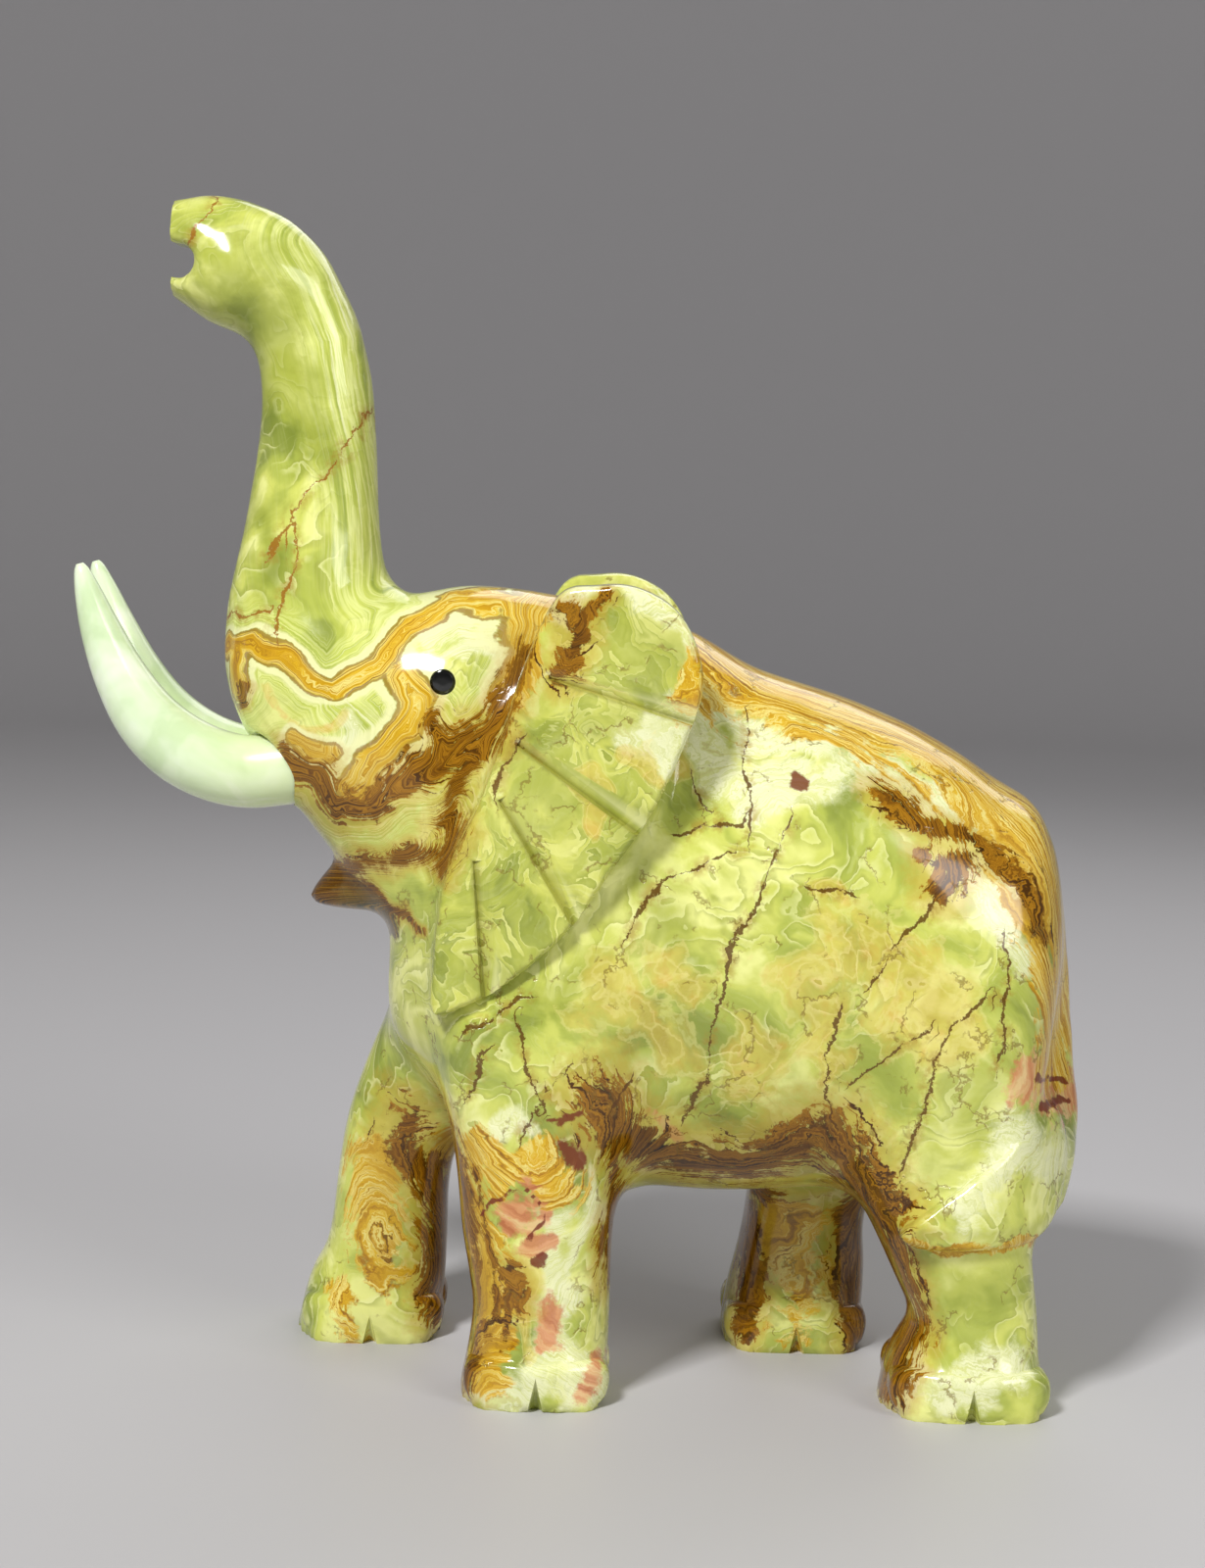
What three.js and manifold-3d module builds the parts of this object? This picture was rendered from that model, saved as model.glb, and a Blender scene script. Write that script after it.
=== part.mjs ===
// Carved onyx elephant with a raised trunk: one stone body, two white tusks and two black eye discs.
// Millimetres, +Z up. The elephant faces -X, its left side faces -Y and its feet stand on z = 0.
import * as THREE from 'three';
import { mergeVertices } from 'three/addons/utils/BufferGeometryUtils.js';
import Module from 'manifold-3d';

const wasm = await Module();
wasm.setup();

// Driving sizes
const FIGURE_HEIGHT = 300; // floor to the top of the raised trunk
const EYE_HOLE_DIAMETER = 6.4;
const EYE_DISC_RECESS = 1.1; // from the cheek down to the crown of the disc
const EYE_DISC_THICKNESS = 3;
const EYE_CLEARANCE = 0.3;
const TUSK_DIAMETER = 18.6; // at the root
const TUSK_SEAT_DEPTH = 21; // from the tusk's first bend to the bottom of its seat
const TUSK_CLEARANCE = 0.3;
const EAR_THICKNESS = 12;
const EAR_ROUNDING = 2.6;
const PLEAT_WIDTH = 5.6; // at the ear's rim
const PLEAT_DEPTH = 2.6;
const TUFT_THICKNESS = 15;
const TUFT_ROUNDING = 1.6;
const TOE_PAD_HEIGHT = 13;
const TOE_PAD_PROUD = 2.2;
const TOE_PAD_THICKNESS = 9;
const TOE_PAD_ROUNDING = 2.8;
const TOE_NOTCH_WIDTH = 6; // at the floor
const TOE_NOTCH_HEIGHT = 9;
const TOE_NOTCH_DEPTH = 4;
const TRUNK_BITE_DIAMETER = 8.6;
const FACET = 8.35; // mean facet edge of the carved body

// The free carving below is drawn for a figure this tall, standing on a floor at z = DRAWN_FLOOR, and
// keeps its shares of the real height
const DRAWN_HEIGHT = 299;
const DRAWN_FLOOR = -2.2;
const SHARE = FIGURE_HEIGHT / DRAWN_HEIGHT;
const FLOOR = DRAWN_FLOOR * SHARE;

const SIDES = { left: -1, right: 1 };

// Smooth curve through rows of numbers, every column run by the same Catmull-Rom weights
function threadRows(rows, stepsPerSpan) {
  const threaded = [];
  for (let span = 0; span < rows.length - 1; span += 1) {
    const before = rows[Math.max(span - 1, 0)];
    const start = rows[span];
    const end = rows[span + 1];
    const after = rows[Math.min(span + 2, rows.length - 1)];
    for (let step = 0; step < stepsPerSpan; step += 1) {
      const t = step / stepsPerSpan;
      threaded.push(start.map((value, column) => {
        const slopeIn = (end[column] - before[column]) / 2;
        const slopeOut = (after[column] - value) / 2;
        const rise = end[column] - value;
        const cubic = slopeIn + slopeOut - 2 * rise;
        const square = 3 * rise - 2 * slopeIn - slopeOut;
        return ((cubic * t + square) * t + slopeIn) * t + value;
      }));
    }
  }
  threaded.push(rows[rows.length - 1]);
  return threaded;
}

// Centre, half widths and frame at each sample of a limb. A row is x, y, z, half width across the
// elephant and half depth in its side view, in the drawn figure's units.
function limbSamples(rows, stepsPerSpan) {
  const samples = threadRows(rows, stepsPerSpan).map(([x, y, z, across, deep]) => ({
    centre: new THREE.Vector3(x, y, z).multiplyScalar(SHARE),
    across: across * SHARE,
    deep: deep * SHARE,
  }));
  samples.forEach((sample, index) => {
    const ahead = samples[Math.min(index + 1, samples.length - 1)].centre;
    const behind = samples[Math.max(index - 1, 0)].centre;
    sample.along = ahead.clone().sub(behind).normalize();
    sample.side = new THREE.Vector3(0, 1, 0);
    sample.side.addScaledVector(sample.along, -sample.along.y).normalize();
    sample.up = sample.along.clone().cross(sample.side);
  });
  return samples;
}

const SQUARE = 2.2; // power of the rings' outline: 2 is an ellipse, more is squarer

// Distance field of a limb: squarish rings swept along its samples, closed by round caps. Past
// FAR_AWAY from the box around it, the distance to that box is near enough.
const FAR_AWAY = 24;
function limbField(rows, { square = SQUARE, firstCap = 1, lastCap = 1, stepsPerSpan = 3 } = {}) {
  const samples = limbSamples(rows, stepsPerSpan);
  const spans = samples.slice(1).map((end, index) => {
    const start = samples[index];
    const reach = end.centre.clone().sub(start.centre);
    return { start, end, reach, length2: reach.lengthSq() };
  });
  const lastSpan = spans[spans.length - 1];
  const room = new THREE.Box3().setFromPoints(samples.map(({ centre }) => centre));
  room.expandByScalar(Math.max(...samples.map(({ across, deep }) => Math.max(across, deep))));
  const offset = new THREE.Vector3();
  const side = new THREE.Vector3();
  const up = new THREE.Vector3();
  const foot = (point, span) => {
    offset.subVectors(point, span.start.centre);
    const raw = offset.dot(span.reach) / span.length2;
    offset.addScaledVector(span.reach, -Math.min(Math.max(raw, 0), 1));
    return raw;
  };
  return (point) => {
    const away = room.distanceToPoint(point);
    if (away > FAR_AWAY) return away;
    let nearest = spans[0];
    let least = Infinity;
    spans.forEach((span) => {
      foot(point, span);
      if (offset.lengthSq() < least) {
        least = offset.lengthSq();
        nearest = span;
      }
    });
    const raw = foot(point, nearest);
    const t = Math.min(Math.max(raw, 0), 1);
    const { start, end } = nearest;
    const across = start.across + (end.across - start.across) * t;
    const deep = start.deep + (end.deep - start.deep) * t;
    side.lerpVectors(start.side, end.side, t);
    up.lerpVectors(start.up, end.up, t);
    let cap = 1;
    if (raw < 0 && nearest === spans[0]) cap = firstCap;
    if (raw > 1 && nearest === lastSpan) cap = lastCap;
    const u = Math.abs(offset.dot(side) / across) ** square;
    const v = Math.abs(offset.dot(up) / deep) ** square;
    const w = Math.abs(offset.dot(t < 1 ? start.along : end.along) / (deep * cap)) ** square;
    const ring = (u + v + w) ** (1 / square);
    return ring < 0.01 ? -Math.min(across, deep) : offset.length() * (1 - 1 / ring);
  };
}

// Joins two fields with a fillet of about the given width
function blend(first, second, width) {
  const reach = width * SHARE;
  const overlap = Math.max(reach - Math.abs(first - second), 0) / reach;
  return Math.min(first, second) - overlap * overlap * reach / 4;
}

const torso = limbField([
  [-24, 0, 128, 33, 56],
  [0, 0, 119, 40, 70],
  [26, 0, 112.8, 44.5, 68.4],
  [50, 0, 109.4, 46, 65],
  [74, 0, 105.6, 45, 59],
  [94, 0, 102, 41, 50],
], { square: 2.25, firstCap: 0.4, lastCap: 0.44 });

const head = limbField([
  [-6, 0, 158, 30, 37],
  [-26, 0, 161, 31, 38],
  [-44, 0, 162, 30, 37],
  [-58, 0, 164, 27, 31],
], { square: 2.3, firstCap: 0.7, lastCap: 0.6 });

const jaw = limbField([
  [-34, 0, 150, 27, 24],
  [-46, 0, 136, 23, 21],
  [-48, 0, 124, 19, 15],
], { square: 2.4, firstCap: 0.8, lastCap: 0.5 });

const muzzle = limbField([
  [-50, 0, 142, 21, 17],
  [-58.5, 0, 154, 24.5, 20.5],
  [-66, 0, 165, 25, 21.7],
  [-73, 0, 179, 23.5, 22],
], { square: 3, firstCap: 0.7, lastCap: 0.5 });

const trunk = limbField([
  [-67, 0, 168, 22, 24],
  [-75.8, 0, 184, 21.4, 21.6],
  [-76, 0, 199, 19.6, 19.8],
  [-75.2, 0, 215, 17, 17.2],
  [-74.4, 0, 232, 15.3, 15.5],
  [-74.6, 0, 248, 14.2, 14.5],
  [-78, 0, 263, 13.6, 13.8],
  [-86.5, 0, 275.5, 13.4, 14.8],
  [-98, 0, 282.2, 12.8, 14.4],
  [-107, 0, 283, 11.8, 13.7],
], { square: 2.3, firstCap: 0.5, lastCap: 0.75, stepsPerSpan: 4 });

const trunkBulb = limbField([
  [-85.5, 0, 271, 14.6, 11.2],
  [-93, 0, 276, 17, 14.6],
  [-102, 0, 278.4, 15.2, 14],
  [-107.5, 0, 278.4, 13.2, 12.3],
], { firstCap: 0.75, lastCap: 0.3, stepsPerSpan: 4 });

const tail = limbField([
  [100, 0, 142, 5.5, 6],
  [109.5, -1, 128, 7.5, 6.6],
  [114.6, -3, 108, 8, 6.6],
  [116, -5, 92, 8, 6.6],
  [117.4, -8, 76, 8.6, 6.6],
  [116.4, -13, 62, 10.5, 7.6],
  [111, -20, 50, 12, 9],
], { square: 2.3, stepsPerSpan: 4 });

// Each leg from inside the body down past the floor, where it is cut off flat
const LEGS = {
  front_left: [
    [-14, -21, 118, 20, 28],
    [-16, -26, 88, 20.2, 24.5],
    [-14.5, -27.5, 62, 19.6, 20.8],
    [-13.8, -28, 40, 18.8, 19],
    [-12.3, -28, 20, 18, 17.2],
    [-13.2, -28.5, 7, 18.6, 17.9],
    [-14.8, -28.5, -6, 18.4, 18.8],
  ],
  front_right: [
    [-16, 21, 120, 20, 28],
    [-33, 26, 89, 20, 20],
    [-47.5, 27.5, 62, 19, 16.6],
    [-53.3, 28, 45, 18.2, 15],
    [-55.3, 28, 18, 18, 16.2],
    [-58.3, 28.5, 7, 18.6, 18.6],
    [-60, 28.5, -6, 18.4, 20],
  ],
  hind_left: [
    [84, -21, 104, 21, 29],
    [86, -26, 78, 21, 26.4],
    [88.2, -27.5, 58, 20.2, 23.4],
    [93.2, -28.5, 34, 19, 17.6],
    [97, -28.5, 20, 18.6, 15.6],
    [94.6, -29, 7, 19.6, 19.8],
    [93.4, -29, -6, 19.2, 21.4],
  ],
  hind_right: [
    [82, 21, 104, 21, 29],
    [73, 25, 78, 20.6, 25],
    [62, 27, 54, 19.8, 19.4],
    [57.2, 28, 36, 18.8, 15.8],
    [56.3, 28, 20, 18.4, 17.4],
    [54.6, 28.5, 7, 19.2, 18.8],
    [52.8, 28.5, -6, 19, 18.6],
  ],
};
const legs = Object.values(LEGS).map((rows) => limbField(rows, { square: 2.7, lastCap: 0.25 }));

function clayField(point) {
  let field = blend(torso(point), head(point), 22);
  field = blend(field, jaw(point), 12);
  field = blend(field, muzzle(point), 10);
  field = blend(field, trunk(point), 9);
  field = blend(field, trunkBulb(point), 2.5);
  legs.forEach((leg) => {
    field = blend(field, leg(point), 13);
  });
  return blend(field, tail(point), 4);
}

// Slope of a field at a point, by small differences
const NUDGE = 0.05;
function slopeAt(field, point, here) {
  const slope = new THREE.Vector3();
  ['x', 'y', 'z'].forEach((axis) => {
    const moved = point.clone();
    moved[axis] += NUDGE;
    slope[axis] = (field(moved) - here) / NUDGE;
  });
  return slope;
}

// Places of a cell's eight corners in the list of grid values, counted from its lowest corner
function cornerSteps([stepX, stepY, stepZ]) {
  return Array.from({ length: 8 }, (_, corner) => (
    (corner & 1) * stepX + ((corner >> 1) & 1) * stepY + (corner >> 2) * stepZ
  ));
}

// Whether the corners of a cell marked in the mask are all joined to each other along cell edges
function joined(mask) {
  const first = [0, 1, 2, 3, 4, 5, 6, 7].find((corner) => mask & (1 << corner));
  if (first === undefined) return true;
  let reached = 1 << first;
  for (let pass = 0; pass < 7; pass += 1) {
    for (let corner = 0; corner < 8; corner += 1) {
      if (reached & (1 << corner)) {
        [1, 2, 4].forEach((axis) => {
          reached |= mask & (1 << (corner ^ axis));
        });
      }
    }
  }
  return reached === mask;
}

// Whether the surface crosses one face of a cell twice
function twiceCrossed(mask) {
  const inside = (corner) => Boolean(mask & (1 << corner));
  return [[1, 2, 4], [2, 4, 1], [1, 4, 2]].some(([a, b, c]) => [0, c].some((start) => (
    inside(start) === inside(start + a + b)
    && inside(start + a) === inside(start + b)
    && inside(start) !== inside(start + a)
  )));
}

const PINCH_STEP = 0.2;

// Moves the grid values that would pinch the surface in a cell to its other side
function unpinch(values, [nx, ny, nz], strides) {
  const steps = cornerSteps(strides);
  const pinched = Array.from({ length: 256 }, (_, mask) => (
    !joined(mask) || !joined(255 - mask) || twiceCrossed(mask)
  ));
  let moved = true;
  for (let round = 0; moved && round < 20; round += 1) {
    moved = false;
    for (let k = 0; k < nz - 1; k += 1) {
      for (let j = 0; j < ny - 1; j += 1) {
        for (let i = 0; i < nx - 1; i += 1) {
          const base = i + j * strides[1] + k * strides[2];
          const mask = steps.reduce((sum, step, corner) => (
            sum + (values[base + step] < 0 ? 1 << corner : 0)
          ), 0);
          if (pinched[mask]) {
            const places = steps.map((step) => base + step);
            const nearest = places.reduce((best, place) => (
              Math.abs(values[place]) < Math.abs(values[best]) ? place : best
            ));
            values[nearest] = values[nearest] < 0 ? PINCH_STEP : -PINCH_STEP;
            moved = true;
          }
        }
      }
    }
  }
}

// Turns a field into a closed mesh: one vertex in each grid cell that the surface crosses, drawn onto
// the surface, and one pair of triangles across each grid edge that it crosses
function carve(field, low, high, cell) {
  const counts = ['x', 'y', 'z'].map((axis) => Math.ceil((high[axis] - low[axis]) / cell) + 1);
  const [nx, ny, nz] = counts;
  const strides = [1, nx, nx * ny];
  const values = new Float64Array(nx * ny * nz);
  const corner = (i, j, k) => new THREE.Vector3(low.x + i * cell, low.y + j * cell, low.z + k * cell);
  for (let k = 0; k < nz; k += 1) {
    for (let j = 0; j < ny; j += 1) {
      for (let i = 0; i < nx; i += 1) {
        values[i + j * nx + k * nx * ny] = field(corner(i, j, k));
      }
    }
  }
  unpinch(values, counts, strides);
  const points = [];
  const pointOfCell = new Map();
  const edges = [];
  for (let bit = 0; bit < 3; bit += 1) {
    for (let start = 0; start < 8; start += 1) {
      if (!(start & (1 << bit))) edges.push([start, start | (1 << bit)]);
    }
  }
  const steps = cornerSteps(strides);
  for (let k = 0; k < nz - 1; k += 1) {
    for (let j = 0; j < ny - 1; j += 1) {
      for (let i = 0; i < nx - 1; i += 1) {
        const base = i + j * strides[1] + k * strides[2];
        const sum = new THREE.Vector3();
        let crossings = 0;
        edges.forEach(([a, b]) => {
          const va = values[base + steps[a]];
          const vb = values[base + steps[b]];
          if ((va < 0) === (vb < 0)) return;
          const t = va / (va - vb);
          [a, b].forEach((mask, end) => {
            const weight = end ? t : 1 - t;
            sum.x += (mask & 1) * weight;
            sum.y += (mask >> 1 & 1) * weight;
            sum.z += (mask >> 2) * weight;
          });
          crossings += 1;
        });
        if (crossings) {
          const point = corner(i, j, k).addScaledVector(sum, cell / crossings);
          pointOfCell.set(base, points.length);
          points.push(point);
        }
      }
    }
  }
  points.forEach((point) => {
    for (let round = 0; round < 3; round += 1) {
      const here = field(point);
      const slope = slopeAt(field, point, here);
      const step = Math.max(Math.min(here / Math.max(slope.lengthSq(), 0.2), cell / 3), -cell / 3);
      point.addScaledVector(slope, -step);
    }
  });
  const triangles = [];
  for (let k = 1; k < nz - 1; k += 1) {
    for (let j = 1; j < ny - 1; j += 1) {
      for (let i = 1; i < nx - 1; i += 1) {
        const base = i + j * strides[1] + k * strides[2];
        for (let axis = 0; axis < 3; axis += 1) {
          const inside = values[base] < 0;
          if (inside === values[base + strides[axis]] < 0) continue;
          const s = strides[(axis + 1) % 3];
          const t = strides[(axis + 2) % 3];
          const ring = [base, base - s, base - s - t, base - t].map((cellIndex) => pointOfCell.get(cellIndex));
          if (!inside) ring.reverse();
          triangles.push(...splitQuad(points, ring));
        }
      }
    }
  }
  const geometry = new THREE.BufferGeometry();
  const flat = points.flatMap((point) => point.toArray());
  geometry.setAttribute('position', new THREE.Float32BufferAttribute(flat, 3));
  geometry.setIndex(triangles);
  return geometry;
}

// Cuts a four-sided ring along its shorter diagonal
function splitQuad(points, [a, b, c, d]) {
  const shortAcross = points[a].distanceTo(points[c]) < points[b].distanceTo(points[d]);
  return shortAcross ? [a, b, c, a, c, d] : [a, b, d, b, c, d];
}

// A closed solid with crisp ends from rings swept along a limb's rows
function sweep(rows, sides, square, stepsPerSpan) {
  const samples = limbSamples(rows, stepsPerSpan);
  const positions = [];
  const bend = (value) => Math.sign(value) * Math.abs(value) ** (2 / square);
  samples.forEach((sample) => {
    for (let side = 0; side < sides; side += 1) {
      const angle = (side / sides) * Math.PI * 2;
      const point = sample.centre.clone();
      point.addScaledVector(sample.side, bend(Math.cos(angle)) * sample.across);
      point.addScaledVector(sample.up, bend(Math.sin(angle)) * sample.deep);
      positions.push(...point.toArray());
    }
  });
  const last = samples.length - 1;
  positions.push(...samples[0].centre.toArray(), ...samples[last].centre.toArray());
  const startPole = samples.length * sides;
  const index = [];
  for (let side = 0; side < sides; side += 1) {
    const next = (side + 1) % sides;
    for (let ring = 0; ring < last; ring += 1) {
      const a = ring * sides + side;
      const b = ring * sides + next;
      index.push(a, a + sides, b, b, a + sides, b + sides);
    }
    index.push(startPole, side, next);
    index.push(startPole + 1, last * sides + next, last * sides + side);
  }
  const geometry = new THREE.BufferGeometry();
  geometry.setAttribute('position', new THREE.Float32BufferAttribute(positions, 3));
  geometry.setIndex(index);
  return geometry;
}

function solid(geometry) {
  const bare = geometry.clone();
  bare.deleteAttribute('normal');
  bare.deleteAttribute('uv');
  const merged = mergeVertices(bare, 1e-4);
  const build = (triVerts) => new wasm.Manifold(new wasm.Mesh({
    numProp: 3,
    vertProperties: new Float32Array(merged.attributes.position.array),
    triVerts,
  }));
  const triVerts = new Uint32Array(merged.index.array);
  const made = build(triVerts);
  if (made.volume() > 0) return made;
  return build(triVerts.slice().reverse());
}

function toMesh(name, made, material) {
  const { numProp, vertProperties, triVerts } = made.getMesh();
  const geometry = new THREE.BufferGeometry();
  const positions = new Float32Array((vertProperties.length / numProp) * 3);
  for (let index = 0; index < positions.length / 3; index += 1) {
    positions.set(vertProperties.subarray(index * numProp, index * numProp + 3), index * 3);
  }
  geometry.setAttribute('position', new THREE.BufferAttribute(positions, 3));
  geometry.setIndex(new THREE.BufferAttribute(new Uint32Array(triVerts), 1));
  geometry.computeVertexNormals();
  const mesh = new THREE.Mesh(geometry, material);
  mesh.name = name;
  return mesh;
}

// A round drill between two points
function bar(start, end, diameter, sides) {
  const axis = new THREE.Vector3().subVectors(end, start);
  const geometry = new THREE.CylinderGeometry(diameter / 2, diameter / 2, axis.length(), sides);
  geometry.translate(0, axis.length() / 2, 0);
  const turn = new THREE.Quaternion();
  turn.setFromUnitVectors(new THREE.Vector3(0, 1, 0), axis.normalize());
  geometry.applyQuaternion(turn);
  geometry.translate(...start.toArray());
  return geometry;
}

// A V-shaped cutter that starts as a point and grows to its width and depth at its far end
function vCutter(start, end, outward, width, depth) {
  const along = new THREE.Vector3().subVectors(end, start).normalize();
  const across = along.clone().cross(outward).normalize();
  const lift = outward.clone().multiplyScalar(depth);
  const far = end.clone().addScaledVector(along, depth);
  const corners = [
    start.clone().addScaledVector(outward, depth / 4),
    far.clone().addScaledVector(across, width).add(lift),
    far.clone().addScaledVector(across, -width).add(lift),
    far.clone().sub(lift),
  ];
  const geometry = new THREE.BufferGeometry();
  const flat = corners.flatMap((corner) => corner.toArray());
  geometry.setAttribute('position', new THREE.Float32BufferAttribute(flat, 3));
  geometry.setIndex([0, 1, 2, 0, 2, 3, 0, 3, 1, 1, 3, 2]);
  return geometry;
}

// A flap of stone: a side-view outline given a thickness, round edges and a bent outer face.
// facePlace gives how far out from the elephant's middle plane the outer face lies at x.
function flap(outline, heart, sign, { thickness, rounding, facePlace, steps = 2 }) {
  const rim = new THREE.CatmullRomCurve3(
    outline.map(([x, z]) => new THREE.Vector3(x, 0, z).multiplyScalar(SHARE)),
    true,
    'centripetal',
  ).getPoints(outline.length * steps).slice(1);
  const centre = new THREE.Vector3(heart[0], 0, heart[1]).multiplyScalar(SHARE);
  const turn = 0.3 * rounding;
  const layers = [[rounding, 0], [turn, turn], [0, rounding], [0, thickness - rounding], [rounding, thickness]];
  const positions = [];
  const put = (point, depth) => {
    positions.push(point.x, sign * (facePlace(point.x) - depth), point.z);
  };
  rim.forEach((point) => put(point.clone().lerp(centre, 0.5), 0));
  layers.forEach(([inset, depth]) => {
    rim.forEach((point) => {
      const inward = centre.clone().sub(point);
      put(point.clone().addScaledVector(inward, inset / inward.length()), depth);
    });
  });
  put(centre, 0);
  put(centre, thickness);
  const index = [];
  const lastLayer = layers.length * rim.length;
  const outerPole = lastLayer + rim.length;
  rim.forEach((_, here) => {
    const next = (here + 1) % rim.length;
    for (let start = 0; start < lastLayer; start += rim.length) {
      const a = start + here;
      const b = start + next;
      index.push(a, b, a + rim.length, b, b + rim.length, a + rim.length);
    }
    index.push(outerPole, next, here, outerPole + 1, lastLayer + here, lastLayer + next);
  });
  const geometry = new THREE.BufferGeometry();
  geometry.setAttribute('position', new THREE.Float32BufferAttribute(positions, 3));
  geometry.setIndex(index);
  return solid(geometry);
}

// The ears: outline in side view, and a face that flares out towards its back edge
const EAR_OUTLINE = [
  [-12, 198.7], [-2.3, 201.5], [6, 201.6], [14.2, 198.2], [19.4, 193], [22.8, 185],
  [23.6, 177], [20.6, 166.5], [13, 148.4], [2.2, 131.9], [-5.9, 119.5], [-15.4, 109.5],
  [-24.3, 102.3], [-31.8, 98.1], [-38.6, 95.3], [-41, 97.2], [-40.3, 112], [-37.6, 131],
  [-30.6, 146], [-25.2, 162], [-20.6, 179.3],
];
const EAR_HEART = [-8, 152];
const EAR_FRONT_X = -41;
const EAR_FRONT_PLACE = 43.5;
const EAR_FLARE = 0.13;
const EAR_PLEATS = [
  [[-13.5, 179], [21.6, 169]],
  [[-21, 162.7], [8.8, 142]],
  [[-25.2, 149.1], [-6, 118.8]],
  [[-31, 134], [-28, 101]],
];
const earPlace = (x) => EAR_FRONT_PLACE * SHARE + EAR_FLARE * (x - EAR_FRONT_X * SHARE);

function earFacePoint([x, z], sign) {
  return new THREE.Vector3(x * SHARE, sign * earPlace(x * SHARE), z * SHARE);
}

function makeEar(sign) {
  const outward = new THREE.Vector3(-EAR_FLARE, sign, 0).normalize();
  let ear = flap(EAR_OUTLINE, EAR_HEART, sign, {
    thickness: EAR_THICKNESS,
    rounding: EAR_ROUNDING,
    facePlace: earPlace,
  });
  EAR_PLEATS.forEach(([inner, rim]) => {
    const cutter = vCutter(
      earFacePoint(inner, sign),
      earFacePoint(rim, sign),
      outward,
      PLEAT_WIDTH,
      PLEAT_DEPTH,
    );
    ear = ear.subtract(solid(cutter));
  });
  return ear;
}

// The tail's tuft: a flat leaf laid round the outer side of the left hind leg
const TUFT_OUTLINE = [
  [75.4, 44.6], [82, 51], [92, 58.4], [101, 65.6], [108, 72], [115, 73.5], [118.6, 66],
  [119, 57.5], [116, 47.6], [109.5, 41.8], [95, 41], [81, 41.2],
];
const TUFT_HEART = [103, 54];
const TUFT_FACE = 51;
const TUFT_MIDDLE_X = 90;
const TUFT_TURN = 24; // how far the rear end turns in round the leg
const TUFT_REACH = 29;

function tuftPlace(x) {
  const along = Math.max((x / SHARE - TUFT_MIDDLE_X) / TUFT_REACH, 0);
  return (TUFT_FACE - TUFT_TURN * along ** 2.2) * SHARE;
}

const LIP_SIDES = 12;
const LIP_ROWS = [
  [-46, 0, 124.4, 15, 9],
  [-56, 0, 123.4, 14.5, 8.6],
  [-63, 0, 122.6, 12.5, 7.4],
  [-69, 0, 120.6, 9.4, 4.9],
  [-73, 0, 119, 5.6, 2.5],
  [-74.3, 0, 118.6, 3, 1],
];

// The tusk's middle line after its first bend, and its thickness as a share of the root's
const TUSK_PLACE = 12.3;
const TUSK_BEND = [-90, 151.4];
const TUSK_ROWS = [
  [-99.2, 153.2, 1],
  [-108, 157.6, 0.97],
  [-115.8, 164.8, 0.88],
  [-122.2, 174.8, 0.73],
  [-127.2, 186, 0.56],
  [-130.4, 195.2, 0.38],
  [-132.2, 201, 0.22],
  [-132.8, 203, 0.1],
];
const TUSK_SIDES = 12;
const TUSK_ROOT_DROP = 0.11; // fall of the straight root for each unit forward

// Rows of the straight root, from so far inside its bend to so far outside it
function tuskRootRows(sign, radius, inside, outside) {
  const [x, z] = TUSK_BEND;
  return [inside, 0, -outside].map((depth) => {
    const back = depth / SHARE;
    return [x + back, sign * TUSK_PLACE, z + back * TUSK_ROOT_DROP, radius / SHARE, radius / SHARE];
  });
}

function tuskSeat(sign) {
  const radius = TUSK_DIAMETER / 2 + TUSK_CLEARANCE;
  return solid(sweep(tuskRootRows(sign, radius, TUSK_SEAT_DEPTH, TUSK_DIAMETER), TUSK_SIDES, 2, 1));
}

function makeTusk(sign) {
  const radius = TUSK_DIAMETER / 2;
  const root = tuskRootRows(sign, radius, TUSK_SEAT_DEPTH - TUSK_CLEARANCE, 1);
  const horn = TUSK_ROWS.map(([x, z, share]) => {
    const thick = share * radius / SHARE;
    return [x, sign * TUSK_PLACE, z, thick, thick];
  });
  return solid(sweep([...root, ...horn], TUSK_SIDES, 2, 2));
}

const EYE_PLACE = [-40.1, 176.3];
const EYE_SIDES = 12;

// How far out from the middle plane the cheek lies at the eye
function cheekPlace() {
  const [x, z] = EYE_PLACE;
  let inner = 0;
  let outer = 60 * SHARE;
  while (outer - inner > 0.01) {
    const middle = (inner + outer) / 2;
    const probe = new THREE.Vector3(x * SHARE, middle, z * SHARE);
    if (clayField(probe) < 0) inner = middle;
    else outer = middle;
  }
  return inner;
}
const CHEEK = cheekPlace();

function eyePoint(sign, depth) {
  const [x, z] = EYE_PLACE;
  return new THREE.Vector3(x * SHARE, sign * (CHEEK - depth), z * SHARE);
}

function eyeHole(sign) {
  const bottom = EYE_DISC_RECESS + EYE_DISC_THICKNESS + EYE_CLEARANCE;
  const outside = -EYE_HOLE_DIAMETER;
  return solid(bar(eyePoint(sign, bottom), eyePoint(sign, outside), EYE_HOLE_DIAMETER, EYE_SIDES));
}

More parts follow.
